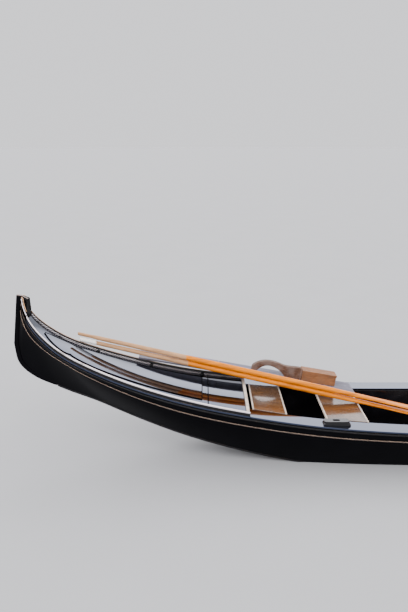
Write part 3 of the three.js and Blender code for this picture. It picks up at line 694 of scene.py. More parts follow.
def grey_board(name):
    """Marine plywood cover, painted grey and walked on: matt, streaked along its length,
    with pale scuffs and dark stains."""
    material, tree = blank_material(name)
    streak = noise(tree, 60, 6.0, (0.12, 1, 1), 0.65)
    cloud = noise(tree, 420, 4.0)
    tone = maths(tree, "ADD", maths(tree, "MULTIPLY", streak, 0.55),
                 maths(tree, "MULTIPLY", cloud, 0.45))
    base = mix(tree, between(tree, tone, 0.36, 0.64), linear("#504e58"), linear("#7b7884"))
    scuff = between(tree, noise(tree, 26, 5.0, (0.4, 1, 1)), 0.66, 0.74)
    pale = mix(tree, scuff, base, linear("#a9a6ae"))
    edge = worn_edges(tree, 6, 70, 0.42)
    shade(tree, {"IOR": 1.45, "Specular IOR Level": 0.35},
          {"Base Color": mix(tree, edge, pale, linear("#d6cfc8")),
           "Roughness": between(tree, tone, 0.3, 0.7, 0.55, 0.8),
           "Normal": bump(tree, streak, 0.25)})
    return material


def oar_varnish(name):
    """Ash oar: orange spar varnish along the shaft, bare wood from the grip to the first
    coat and at the blade's end, and white paint where the attribute says a sleeve is."""
    material, tree = blank_material(name)
    raw = node(tree, "ShaderNodeAttribute", {"attribute_name": "raw"}).outputs["Fac"]
    sleeve = node(tree, "ShaderNodeAttribute", {"attribute_name": "sleeve"}).outputs["Fac"]
    colour, fine = grained(tree, "#ee8a00", "#b45c00", 7)
    bare = grained(tree, "#cd9f74", "#946a48", 7)[0]
    pale = mix(tree, sleeve, bare, linear("#f7f3ec"))
    ragged = between(tree, maths(tree, "ADD", raw, maths(tree, "MULTIPLY", fine, 0.4)),
                     0.6, 0.8)
    streak = between(tree, noise(tree, 30, 4.0, (0.03, 1, 1)), 0.52, 0.72)
    rich = mix(tree, maths(tree, "MULTIPLY", streak, 0.6), colour, linear("#8e4404"))
    shade(tree, {"IOR": 1.25, "Coat Weight": 0.08, "Coat Roughness": 0.1, "Coat IOR": 1.5},
          {"Base Color": mix(tree, ragged, rich, pale),
           "Roughness": between(tree, ragged, 0, 1, 0.24, 0.6),
           "Normal": bump(tree, fine, 0.15)})
    return material


def walnut(name):
    """Walnut root, carved and oiled, greyed by weather on its top faces."""
    material, tree = blank_material(name)
    colour, fine = grained(tree, "#6f5242", "#38251b", 10, 0.25)
    grey = between(tree, noise(tree, 90, 4.0), 0.4, 0.62)
    edge = worn_edges(tree, 8, 60, 0.4)
    worn = mix(tree, maths(tree, "MULTIPLY", grey, 0.5), colour, linear("#7c6f68"))
    shade(tree, {"IOR": 1.22},
          {"Base Color": mix(tree, edge, worn, linear("#a8917b")),
           "Roughness": between(tree, grey, 0, 1, 0.45, 0.7),
           "Normal": bump(tree, fine, 0.5, bump(tree, noise(tree, 70, 2.0), 1.5))})
    return material


def sawn_pine(name):
    """Sawn pine boards, nailed and left bare: dull brown with darker grain and knots."""
    material, tree = blank_material(name)
    colour, fine = grained(tree, "#9a663e", "#5f3a20", 8, 0.1)
    knot = between(tree, noise(tree, 70, 1.0, (0.5, 1, 1)), 0.7, 0.78)
    dirt = between(tree, noise(tree, 110, 4.0), 0.45, 0.75)
    knotted = mix(tree, knot, colour, linear("#5a3820"))
    shade(tree, {"IOR": 1.5, "Specular IOR Level": 0.4},
          {"Base Color": mix(tree, maths(tree, "MULTIPLY", dirt, 0.6), knotted,
                             linear("#6b5340")),
           "Roughness": between(tree, fine, 0.3, 0.7, 0.5, 0.75),
           "Normal": bump(tree, fine, 0.4)})
    return material


def red_cloth(name):
    """Woven wool cloth dyed deep red: matt, with a soft pale nap at grazing angles."""
    material, tree = blank_material(name)
    where = node(tree, "ShaderNodeTexCoord")
    # A thread every 1.2 mm is too fine to show, so the weave is drawn at 5 mm.
    weave = [node(tree, "ShaderNodeTexWave",
                  {"wave_type": "BANDS", "bands_direction": axis, "Scale": 1000 / 5 / 6.3,
                   "Distortion": 1.5, "Detail": 1.0},
                  {"Vector": where.outputs["Object"]}).outputs["Fac"] for axis in "XYZ"]
    cloth = maths(tree, "MAXIMUM", maths(tree, "MAXIMUM", weave[0], weave[1]), weave[2])
    fade = between(tree, noise(tree, 160, 4.0), 0.35, 0.7)
    tone = mix(tree, fade, linear("#a80b12"), linear("#860a10"))
    shade(tree, {"Sheen Weight": 0.2, "Sheen Roughness": 0.4, "Specular IOR Level": 0.2},
          {"Base Color": mix(tree, between(tree, cloth, 0.4, 1, 0.3, 0), tone,
                             linear("#54060a")),
           "Roughness": between(tree, cloth, 0, 1, 0.75, 0.9),
           "Normal": bump(tree, cloth, 0.4)})
    return material


def plain_floor(name):
    """A plain pale studio floor of painted board."""
    material, tree = blank_material(name)
    soft = between(tree, noise(tree, 900, 3.0), 0.3, 0.7)
    stage = bpy.context.scene.boat_stage
    shade(tree, {"Specular IOR Level": 0.2, "Roughness": 0.8},
          {"Base Color": mix(tree, maths(tree, "MULTIPLY", soft, 0.15),
                             tuple(stage.floor_colour), linear("#9a9a9a"))})
    return material


MAKERS = {
    "black enamel, brushed": gloss_black,
    "black enamel, hull sides": side_black,
    "black enamel, dulled": dulled_black,
    "black enamel on carving": carved_black,
    "black enamel on mouldings": moulding_black,
    "tan bead with wear and painted highlight": bead_tan,
    "forged steel, ground": forged_steel,
    "cast brass, polished": cast_brass,
    "larch, varnished": varnished_board,
    "softwood edging, bare": bare_board,
    "plywood, grey paint": grey_board,
    "ash, oar varnish": oar_varnish,
    "walnut, oiled": walnut,
    "pine, sawn": sawn_pine,
    "wool cloth, red": red_cloth,
    "floor board, pale": plain_floor,
}


# Settings that a user would change

class BoatStage(bpy.types.PropertyGroup):
    """The floor, the light and the camera."""
    floor_colour: bpy.props.FloatVectorProperty(
        name="Floor colour", description="Colour of the plain floor", subtype="COLOR",
        size=4, min=0, max=1, default=linear("#a9a9aa"))
    sky: bpy.props.FloatProperty(
        name="Sky", description="Strength of the soft light from above", default=4.0, min=0)
    camera: bpy.props.FloatVectorProperty(
        name="Camera", description="Place of the camera in the boat's frame",
        subtype="TRANSLATION", unit="LENGTH", size=3, default=(-3.66, -6.05, 3.11))
    pitch: bpy.props.FloatProperty(
        name="Pitch", description="How far the camera looks down", subtype="ANGLE",
        default=math.radians(14.6))
    lens: bpy.props.FloatProperty(
        name="Lens", description="Focal length on a 36 mm frame", default=37.06, unit="CAMERA")


class BoatTrim(bpy.types.PropertyGroup):
    """Mouldings and small ornament, in millimetres."""
    rope_radius: bpy.props.FloatProperty(
        name="Rope radius", description="Radius of the carved rope moulding, mm", default=11)
    rope_strand: bpy.props.FloatProperty(
        name="Strand spacing", description="Distance from strand to strand, mm", default=28)
    panel_bead: bpy.props.FloatProperty(
        name="Panel bead", description="Radius of the bead round the deck panels, mm",
        default=5)
    floor_planks: bpy.props.IntProperty(
        name="Floor planks", description="Boards across the floor", default=6, min=2)


# The stage

class BOAT_OT_stage(bpy.types.Operator):
    """Sets the camera, the pale floor at the waterline and the soft light"""
    bl_idname = "boat.stage"
    bl_label = "Stage"

    # Radii of the floor's rings in metres, from the one round the boat to its far edge.
    FLOOR_RINGS = (9.0, 40.0, 380.0)
    FLOOR_STEPS = 96
    # The sine of the height above the horizon, and how bright the sky is there.
    SKY_LEVELS = ((0.0, 0.29), (0.225, 0.292), (0.27, 0.7), (0.34, 1.0), (0.72, 1.0),
                  (0.82, 0.4), (1.0, 0.25))
    SKY_BLUE = 1.04

    def execute(self, context):
        stage = context.scene.boat_stage
        camera = bpy.data.objects.new("camera", bpy.data.cameras.new("camera"))
        camera.data.lens = stage.lens
        camera.data.sensor_width = 36
        camera.data.clip_end = 1000
        camera.location = stage.camera
        camera.rotation_euler = (math.radians(90) - stage.pitch, 0, 0)
        context.scene.collection.objects.link(camera)
        context.scene.camera = camera
        self.floor()
        self.sky(context.scene, stage)
        return {"FINISHED"}

    def floor(self):
        """A round floor at the waterline, open where the afloat hull dips through it, so
        that its inside is dry. The opening's edge runs inside the planking."""
        steps = self.FLOOR_STEPS
        points = []
        for reach in self.FLOOR_RINGS:
            points += [(reach * math.cos(2 * math.pi * i / steps),
                        reach * math.sin(2 * math.pi * i / steps), 0) for i in range(steps)]
        faces = []
        for ring in (0, 1):
            for i in range(steps):
                a, b = ring * steps + i, ring * steps + (i + 1) % steps
                faces.append((a, a + steps, b + steps, b))
        wet = [row for row in range(HULL_ROWS + 1) if CHINE[row][2] < BOTTOM / 2]
        sides = []
        for side in (1, -1):
            sides.append(range(len(points), len(points) + len(wet)))
            for row in wet:
                up, low = SHEER[row][2], CHINE[row][2]
                x, y, _ = plank_point(row, min(up / (up - low), 1), side, -PLANK / 2)
                points.append(place(x, y, 0))
        port, starboard = (list(side) for side in sides)
        half = steps // 2
        faces.append((half, *port, *range(half)))
        faces.append((*range(half, steps), 0, *reversed(starboard)))
        faces.append((0, port[-1], starboard[-1]))
        faces.append((half, starboard[0], port[0]))
        floor = mesh_object("floor", points, faces)
        floor.data.materials.append(finish("floor board, pale"))

    def sky(self, scene, stage):
        """A soft dome: dim at the horizon, bright from low down to near overhead."""
        world = bpy.data.worlds.new("studio")
        scene.world = world
        world.use_nodes = True
        tree = world.node_tree
        tree.nodes.clear()
        where = node(tree, "ShaderNodeTexCoord")
        up = node(tree, "ShaderNodeSeparateXYZ", None, {0: where.outputs["Generated"]})
        ramp = node(tree, "ShaderNodeValToRGB", None, {0: up.outputs["Z"]})
        band = ramp.color_ramp.elements
        band[0].position = self.SKY_LEVELS[0][0]
        band[1].position = self.SKY_LEVELS[-1][0]
        for at, _ in self.SKY_LEVELS[1:-1]:
            band.new(at)
        for element, (_, level) in zip(band, self.SKY_LEVELS):
            element.color = (level, level, level * self.SKY_BLUE, 1)
        light = node(tree, "ShaderNodeBackground", {"Strength": stage.sky},
                     {"Color": ramp.outputs[0]})
        node(tree, "ShaderNodeOutputWorld", None, {"Surface": light.outputs[0]})


# The hull

def plank_point(row, fraction, side, out):
    """A point on the planking, some way down from the sheer and out from its surface."""
    top, low = SHEER[row], CHINE[row]
    at = top + (low - top) * fraction
    swell = BULGE * math.sin(math.pi * fraction) * min(1, at[1] / BULGE_FULL_AT)
    return at[0], side * (at[1] + swell + out) + middle(at[0]), at[2]


def plank_depth(row):
    """The distance down the planking from the sheer to the chine."""
    return float(np.linalg.norm(SHEER[row] - CHINE[row]))


def planking_rows(side, steps=14):
    """Rings of one side's planking: down its outer face and up its inner one."""
    rows = []
    for row in range(HULL_ROWS + 1):
        outer = [place(*plank_point(row, k / steps, side, 0)) for k in range(steps + 1)]
        inner = [place(*plank_point(row, k / steps, side, -PLANK))
                 for k in range(steps, -1, -1)]
        rows.append(outer + inner)
    return rows


def moulding_rows(side, reeds, gap=1.3, steps=8, shallow=3.0, foot=0.4):
    """Rings of a moulding of half round reeds, each given as down from the sheer, height
    and how proud its solid is. A reed is shallower than the solid, and has a low foot."""
    rows = []
    for row in range(HULL_ROWS + 1):
        depth = plank_depth(row)
        ring = [place(*plank_point(row, min(reeds[0][0] / depth, 1), side, gap))]
        for down, height, proud in reeds:
            for k in range(steps + 1):
                turn = math.pi * k / steps
                at = down + height * (1 - math.cos(turn)) / 2
                out = gap + (proud - gap - shallow) * math.sin(turn) ** 0.7 + foot
                ring.append(place(*plank_point(row, min(at / depth, 1), side, out)))
        end = reeds[-1][0] + reeds[-1][1]
        ring.append(place(*plank_point(row, min(end / depth, 1), side, gap)))
        rows.append(ring)
    return rows


def post_line(head_at, head_up, heel_at):
    """The chine's own line from the post's head to its heel, offset by a distance."""
    toward = 1 if head_at > heel_at else -1
    run = [(p[0], p[2]) for p in CHINE if (p[0] - heel_at) * toward > 1]
    if toward > 0:
        run.reverse()
    line = [(head_at, head_up), *run, (heel_at + toward, chine(heel_at + toward)[1])]
    line = [Vector(p) for p in line]

    def offset(distance):
        out = []
        for i, p in enumerate(line):
            after = line[min(i + 1, len(line) - 1)]
            tangent = (after - line[max(i - 1, 0)]).normalized()
            out.append(p + Vector((tangent.y, -tangent.x)) * (-toward * distance))
        return out
    return offset


def flat_outline(points):
    """Stations and heights in mm as (x, z) in metres."""
    return [((x - AMIDSHIPS) * MM, z * MM) for x, z in points]


class BOAT_OT_hull(bpy.types.Operator):
    """Builds the side planking, its mouldings, the posts and the bottom"""
    bl_idname = "boat.hull"
    bl_label = "Hull"

    # The reeds of the rubbing rail and of the bead below it.
    RAIL = ((5, 15, 20), (20, 11, 13))
    BEAD = ((100, 14, 10),)
    # Each post: its head, its heel, and how far above the heel it starts to thin to a share
    # of its depth. The stem's thin part is short, because the iron's strap lies against it.
    POSTS = (("stern", STERN_AT, STERN_TOP, STERN_HEEL, 420),
             ("stem", STEM_AT, STEM_TOP, STEM_HEEL, 30))
    HEEL_SHARE = 0.4

    def execute(self, context):
        for side, name in SIDES:
            skin = loft(f"hull_side_{name}", planking_rows(side), 50)
            seat(skin, finish("black enamel, hull sides"), "lacquer", f"planking_{name}")
            rail = loft(f"rail_{name}", moulding_rows(side, self.RAIL), 60)
            seat(rail, finish("black enamel on mouldings"), "lacquer",
                 f"rubbing_rail_{name}")
            bead = loft(f"bead_{name}", moulding_rows(side, self.BEAD), 60)
            seat(bead, finish("tan bead with wear and painted highlight"), "lacquer", f"lower_bead_{name}")
        self.posts()
        for name in ("aft", "middle", "fore"):
            coat(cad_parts[f"bottom_planking_{name}"], finish("black enamel on carving"))
        return {"FINISHED"}

    def posts(self):
        """The stern and stem posts, along the ends of the planking."""
        for name, head_at, head_up, heel_at, taper in self.POSTS:
            offset = post_line(head_at, head_up, heel_at)
            near, far = offset(POST_GAP), offset(POST_DEPTH)
            run = [0.0]
            for a, b in zip(near, near[1:]):
                run.append(run[-1] + (b - a).length)
            for i, (a, b) in enumerate(zip(near, far)):
                up = min((run[-1] - run[i]) / taper, 1)
                far[i] = a + (b - a) * (self.HEEL_SHARE + (1 - self.HEEL_SHARE) * up ** 0.8)
            outline = near + list(reversed(far))
            post = outline_body(f"{name}_timber", flat_outline(outline), 2 * POST_HALF * MM)
            round_edges(post, 5, 3)
            seat(post, finish("black enamel, hull sides"), "lacquer", f"{name}_post")


# The decks

# The panel's ogee end by the post: distance from its tip, and its share of half the deck.
OGEE_TIP = ((0, 0.05), (40, 0.27), (110, 0.46), (180, 0.55), (235, 0.54), (270, 0.47))
OGEE_SHOULDER = ((270, 0.47), (295, 0.53), (360, 0.59), (520, 0.65))
PANEL_THICK = 7
AFT_PANEL = (225, 1800)
FORE_PANEL = (10330, 8950)
OGEE = np.concatenate([smooth_line(OGEE_TIP, 24), smooth_line(OGEE_SHOULDER, 14)[1:]])


def panel_edges(tip):
    """The raised panel's edges, along the ogee from its tip."""
    def half(station):
        share = float(np.interp(abs(station - tip), OGEE[:, 0], OGEE[:, 1]))
        return deck_half(station) * share
    return about_middle(half)


def head_at(station):
    """The stern head's half breadths at its foot and its top, and the top's height."""
    f = (station - STERN_AT) / (HEAD_END - STERN_AT)
    high = HEAD_HALF[0] + (HEAD_HALF[1] - HEAD_HALF[0]) * f
    return deck_half(station), high, STERN_TOP + (HEAD_END_TOP - STERN_TOP) * f


def head_rows():
    """Rings of the block at the stern's head, from the post to where the deck starts."""
    rows = []
    for s in np.linspace(STERN_AT + DECK_GAP, HEAD_END, 12):
        low, high, top = head_at(s)
        centre, base = middle(s), sheer(s)[1] + DECK_GAP
        rows.append([place(s, centre + low, base), place(s, centre - low, base),
                     place(s, centre - high, top), place(s, centre + high, top)])
    return rows


class BOAT_OT_decks(bpy.types.Operator):
    """Builds the end decks, their raised panels with beads, and the side decks"""
    bl_idname = "boat.decks"
    bl_label = "Decks and panels"

    # The rims' lines of painted highlight on the stern's head: the colour that each shows, and
    # how far aft of a point its height is read, which lifts it. Then their first station, how
    # far below the top they stay, and their radius in metres.
    HIGHLIGHT_LINES = (("pale", 0), ("tan", 17))
    LINE_FROM, LINE_BELOW, LINE_RADIUS = 26, 3, 0.0045
    # The deck's cross seam behind the panel, how far its bead stands up, and how deep the
    # bead round the panel is sunk in its edge.
    SEAM_AFTER, SEAM_PROUD, BEAD_SUNK = 62, 1.5, 1

    def execute(self, context):
        black = finish("black enamel, brushed")
        ends = (("aft", HEAD_END + DECK_GAP, AFT_LIP, AFT_PANEL),
                ("fore", FORE_LIP, STEM_AT - DECK_GAP, FORE_PANEL))
        for name, start, end, panel in ends:
            rows = sheet_rows(stations(start, end), about_middle(deck_half), deck_under,
                              deck_top, 28)
            seat(round_edges(loft(f"{name}_decking", rows), 3), black, "lacquer",
                 f"{name}_deck")
            self.panel(context, name, panel, black)
        head = round_edges(loft("stern_head_block", head_rows(), 30), 6, 3, 25)
        seat(head, finish("black enamel, dulled"), "lacquer", "stern_head")
        self.head_lines()
        for side, name in SIDES:
            def edges(s, side=side):
                half = sheer(s)[0]
                return (middle(s) + side * (half + DECK_OVERHANG),
                        middle(s) + side * (half - SIDE_DECK))
            at = stations(AFT_LIP + DECK_GAP, FORE_LIP - DECK_GAP)
            rows = sheet_rows(at, edges, flat_under, flat_top, 2)
            seat(round_edges(loft(f"side_decking_{name}", rows), 4, 3), black, "lacquer",
                 f"side_deck_{name}")
        return {"FINISHED"}

    def head_lines(self):
        """The rims' pale and tan lines of painted highlight, carried up the sides of the stern's
        head.
        """
        for attribute, forward in self.HIGHLIGHT_LINES:
            lines = []
            for side, _ in SIDES:
                path = []
                for s in np.linspace(self.LINE_FROM, HEAD_END - 2, 16):
                    low, high, top = head_at(s)
                    base, up = sheer(s)[1], sheer(max(s - forward, STERN_AT))[1]
                    z = min(up + DECK + RIM_HEIGHT, top - self.LINE_BELOW)
                    y = low + (high - low) * (z - base) / (top - base)
                    path.append(place(s, middle(s) + side * (y + 1), z))
                lines.append(sweep("line", path, round_section(self.LINE_RADIUS, 10)))
            line = join(f"stern_head_{attribute}_line", lines)
            mark(line, attribute, [1.0] * len(line.data.vertices))
            seat(line, finish("black enamel on mouldings"), "lacquer")

    def panel(self, context, name, panel, black):
        """A thin board with an ogee end, a bead round it and the deck's seam behind it."""
        tip, end = panel
        toward = 1 if end > tip else -1
        at = sorted({tip + toward * d for d in OGEE[:, 0]}
                    | set(stations(min(tip, end), max(tip, end), closest=20)))
        edges = panel_edges(tip)
        rows = sheet_rows(at, edges, on_deck, lambda s, y: on_deck(s, y) + PANEL_THICK, 16)
        board = round_edges(loft(f"{name}_raised_panel", rows), 3, 2, 50)
        seat(board, black, "lacquer", f"{name}_panel")
        section = round_section(context.scene.boat_trim.panel_bead * MM, 12, 0.9)
        rising = at if toward > 0 else list(reversed(at))
        starboard, port = edges(end)
        across = [(end, port + (starboard - port) * k / 20) for k in range(21)]
        runs = [[(s, edges(s)[k]) for s in rising] for k in (0, 1)] + [across]
        beads = []
        for i, run in enumerate(runs):
            path = [place(s, y, on_deck(s, y) + PANEL_THICK - self.BEAD_SUNK)
                    for s, y in run]
            beads.append(sweep(f"{name}_bead_{i}", path, section))
        seam = end + toward * self.SEAM_AFTER
        half = sheer(seam)[0] - RIM_WIDTH - RIM_INSET
        joint = [middle(seam) + half * (k / 10 - 1) for k in range(21)]
        path = [place(seam, y, deck_top(seam, y) + self.SEAM_PROUD) for y in joint]
        beads.append(sweep(f"{name}_joint", path, section))
        bead = join(f"{name}_panel_bead", beads)
        seat(bead, finish("black enamel, dulled"), "lacquer")


class BOAT_OT_rims(bpy.types.Operator):
    """Builds the raised rims along the deck edges, with carved rope and small bosses"""
    bl_idname = "boat.rims"
    bl_label = "Rims"

    # The rosettes' stations, and how far from the stem the fore rims end.
    BOSSES = {"aft": (700, 1250, 1800), "fore": (8900, 9450, 9950, 10300)}
    END = 40
    # The rim's section: distance in from its outer face, and height, where 0 is the deck's.
    SECTION = ((0, 0), (0, 26), (2, 35), (6, 41), (11, RIM_HEIGHT), (16, 42), (20, 36),
               (21, 28), (24, 18), (RIM_WIDTH, 0))
    # How far each of the section's points is painted pale and tan, as highlights on the crest.
    PALE_HIGHLIGHT = [0, 0, 0.7, 1, 0.6, 0, 0, 0, 0, 0]
    TAN_HIGHLIGHT = [0, 0, 0, 0, 0.5, 0.5, 0, 0, 0, 0]
    STRANDS, ROPE_SIDES, TURN_STEPS = 3, 18, 14
    PETALS = 8

    def execute(self, context):
        runs = (("aft", HEAD_END + DECK_GAP, AFT_LIP), ("fore", FORE_LIP, STEM_AT - self.END))
        for name, start, end in runs:
            for side, hand in SIDES:
                self.rim(context, name, hand, side, start, end)
        return {"FINISHED"}

    def line(self, station, side, inset):
        """Breadth across the deck at a distance in from its edge."""
        return middle(station) + side * (sheer(station)[0] + DECK_OVERHANG - inset)

    def rim(self, context, name, hand, side, start, end):
        """One rim, with its painted highlight lines, its rope and its bosses."""
        rows = []
        for s in stations(start, end):
            level = deck_top(s, self.line(s, side, RIM_INSET + RIM_WIDTH / 2))
            ring = []
            for inset, up in self.SECTION:
                y = self.line(s, side, RIM_INSET + inset)
                ring.append(place(s, y, level + up if up else on_deck(s, y)))
            rows.append(ring)
        rail = loft(f"{name}_edge_rail_{hand}", rows, 50)
        mark(rail, "pale", self.PALE_HIGHLIGHT * len(rows))
        mark(rail, "tan", self.TAN_HIGHLIGHT * len(rows))
        seat(rail, finish("black enamel on mouldings"), "carved", f"{name}_rim_{hand}")
        self.rope(context.scene.boat_trim, name, hand, side, start, end)

    def rope(self, trim, name, hand, side, start, end):
        """Three strands laid round each other, cut in the wood along the rim's foot."""
        radius = trim.rope_radius
        lay = trim.rope_strand * self.STRANDS
        step = lay / self.TURN_STEPS
        inset = RIM_INSET + RIM_WIDTH + radius * 0.4
        count = int((end - start) / step)
        path = []
        for i in range(count + 1):
            s = start + (end - start) * i / count
            if sheer(s)[0] < inset + radius + 6:
                continue
            y = self.line(s, side, inset)
            path.append(place(s, y, deck_top(s, y) + radius * 0.85))
        # The strands' crests are painted pale: a painted highlight.
        section, strand_highlight = [], []
        for k in range(self.ROPE_SIDES):
            a = 2 * math.pi * k / self.ROPE_SIDES
            crest = abs(math.cos(self.STRANDS / 2 * a))
            r = radius * MM * (0.86 + 0.16 * crest)
            section.append((r * math.cos(a), r * math.sin(a)))
            strand_highlight.append(0.7 * crest ** 4)
        twist = 2 * math.pi / (lay * MM)
        rope = sweep(f"{name}_rope_{hand}", path, section, twist * side, sharp=180)
        mark(rope, "pale", strand_highlight * len(path))
        bosses = [self.boss(s, self.line(s, side, inset), radius)
                  for s in self.BOSSES[name]]
        carved = join(f"{name}_carving_{hand}", [rope, *bosses])
        seat(carved, finish("black enamel on carving"), "carved")

    def boss(self, station, y, radius):
        """A carved rosette: a low dome with eight petals."""
        rings, around = 7, 32
        rows = []
        for i in range(rings):
            f = i / (rings - 1)
            row = []
            for k in range(around):
                a = 2 * math.pi * k / around
                petal = 1 + 0.16 * f * abs(math.cos(self.PETALS / 2 * a))
                r = radius * 1.9 * math.sin(f * math.pi / 2) * petal + 0.3
                up = radius * (1.15 * math.cos(f * math.pi / 2) + 0.9)
                row.append((station + r * math.cos(a), y + r * math.sin(a), up))
            rows.append(row)
        rows.append([(x, b, -2) for x, b, _ in rows[-1]])
        base = deck_top(station, y)
        return loft("boss", [[place(x, b, base + z) for x, b, z in row] for row in rows], 60)


# Inside the wells

class BOAT_OT_wells(bpy.types.Operator):
    """Builds the lips, thwarts, coamings, bulkheads and floors"""
    bl_idname = "boat.wells"
    bl_label = "Wells"

    # Each thwart's aft and fore edge, and each floor's ends and its battens' stations.
    THWARTS = (("aft_thwart", 2300, 2640), ("mid_thwart", 3025, 3440),
               ("fore_step", 6900, 7260), ("fore_thwart", 7860, 8310))
    FLOORS = (("aft_floor", 2310, 3960, (2390, 3160, 3840)),
              ("cabin_floor", 3964, 6880, (4040, 4900, 5800, 6720)),
              ("fore_floor", 6884, 8360, (6960, 7600, 8240)))
    BATTEN, FLOOR_CLEAR = 50, 3
    EDGING, EDGING_SEAM, EDGING_PROUD = 14, 0.3, 1.5

    def execute(self, context):
        self.lips()
        self.thwarts()
        self.coamings()
        self.floors(context.scene.boat_trim.floor_planks)
        for name in ("aft_bulkhead", "fore_bulkhead"):
            coat(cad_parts[name], finish("black enamel on carving"))
        return {"FINISHED"}

    def lips(self):
        """The pale bars across the open ends of the decks."""
        edges = about_middle(lambda s: sheer(s)[0] - RIM_WIDTH - RIM_INSET - 2)
        for name, start in (("aft", AFT_LIP - LIP_WIDTH), ("fore", FORE_LIP)):
            at = [start + LIP_WIDTH * k / 4 for k in range(5)]
            rows = sheet_rows(at, edges, on_deck, lambda s, y: on_deck(s, y) + LIP_HEIGHT, 28)
            lip = round_edges(loft(f"{name}_lip_bar", rows), 4, 3)
            seat(lip, finish("softwood edging, bare"), "bare_wood", f"{name}_lip")

    def thwarts(self):
        """Varnished boards from side to side, each with two bare edging strips."""
        edges = about_middle(lambda s: sheer(s)[0] - SIDE_DECK - DECK_GAP)

        def top(s, y):
            return flat_under(s) + THWART

        for name, start, end in self.THWARTS:
            first, last = start + self.EDGING, end - self.EDGING
            at = [first + (last - first) * k / 12 for k in range(13)]
            rows = sheet_rows(at, edges, flat_under, top, 12)
            board = round_edges(loft(f"{name}_board", rows), 3, 2)
            seat(board, finish("larch, varnished"), "varnish", name)
            strips = []
            for s in (start, last):
                rows = sheet_rows([s, s + self.EDGING - self.EDGING_SEAM], edges, flat_under,
                                  lambda a, y: top(a, y) + self.EDGING_PROUD, 12)
                strips.append(round_edges(loft("strip", rows), 2.5, 2))
            seat(join(f"{name}_edging", strips), finish("softwood edging, bare"), "bare_wood")

    def coamings(self):
        """The walls of the wells, from under the side decks down to the bottom."""
        ends = (AFT_LIP + DECK_GAP + BULKHEAD + 2, FORE_LIP - DECK_GAP - BULKHEAD - 2)
        for side, name in SIDES:
            rows = []
            for s in stations(*ends):
                top_y = middle(s) + side * (sheer(s)[0] - SIDE_DECK)
                foot_y = middle(s) + side * (chine(s)[0] - COAMING_FOOT)
                half = COAMING / 2
                top, foot = sheer(s)[1] - DECK_GAP, chine(s)[1] + 4
                rows.append([place(s, top_y + half, top), place(s, top_y - half, top),
                             place(s, foot_y - half, foot), place(s, foot_y + half, foot)])
            wall = round_edges(loft(f"well_side_{name}", rows), 2, 2)
            seat(wall, finish("black enamel on carving"), "carved",
                 *[f"coaming_{name}_{i}" for i in (1, 2, 3, 4)])

    def floors(self, planks):
        """Floors of loose planks on battens."""
        seam = 1.5

        def half(s):
            return chine(s)[0] - COAMING_FOOT - COAMING / 2 - self.FLOOR_CLEAR

        def under(s, y):
            return chine(s)[1] + FLOOR_HEIGHT

        for name, start, end, battens in self.FLOORS:
            pieces = []
            for k in range(planks):
                def edges(s, k=k):
                    width = 2 * half(s) / planks
                    left = middle(s) - half(s) + k * width
                    return left + seam, left + width - seam
                rows = sheet_rows(stations(start, end, CHINE, 40), edges, under,
                                  lambda s, y: under(s, y) + FLOORBOARD, 2)
                pieces.append(round_edges(loft("plank", rows), 3, 2))
            for s in battens:
                rows = sheet_rows([s, s + self.BATTEN], about_middle(half),
                                  lambda a, y: chine(a)[1] + DECK_GAP,
                                  lambda a, y: under(a, y) - 0.3, 4)
                pieces.append(round_edges(loft("batten", rows), 3, 2))
            seat(join(f"{name}_planks", pieces), finish("black enamel on carving"),
                 "carved", name)


# The irons

# The teeth: the first one's upper root is at a height, they reach out from the spine, and
# their tips rise above their roots.
TOOTH = {"count": 6, "first": 1172, "pitch": 87, "height": 42, "reach": 163, "rise": 22}
IRON = 12
IRON_AT = STEM_AT + POST_DEPTH + POST_GAP
SPINE = 76
STRAP_WIDTH = 30
STRAP_TOP = 560


def iron_outline():
    """The bow iron's outline: distances ahead of the stem's face and heights."""
    stem = post_line(STEM_AT, STEM_TOP, STEM_HEEL)

    def strap(distance):
        edge = stem(POST_DEPTH + POST_GAP + distance)
        return [(p.x - IRON_AT, p.y) for p in edge if p.y < STRAP_TOP]

    line = [(237, 1690), (259, 1215)]
    line += bezier([line[-1], (259, 1190), (224, 1203)], 6)
    line += bezier([line[-1], (224, 1249), (150, 1249)], 10)
    line += bezier([line[-1], (SPINE, 1249), (SPINE, TOOTH["first"] + 12)], 10)
    for k in range(TOOTH["count"]):
        top = TOOTH["first"] - k * TOOTH["pitch"]
        tip = top + TOOTH["rise"]
        line += [(SPINE, top), (SPINE + TOOTH["reach"], tip),
                 (SPINE + TOOTH["reach"], tip - TOOTH["height"]),
                 (SPINE, top - TOOTH["height"])]
    line += strap(STRAP_WIDTH)
    line += reversed(strap(0))
    line += [(0, 700), (0, 1160), (-172, 1160), (-172, 1196), (-100, 1196)]
    line += bezier([line[-1], (-150, 1290), (-130, 1400), (-95, 1440)], 14)
    line += bezier([line[-1], (-60, 1540), (60, 1640), (237, 1690)], 18)[:-1]
    return line


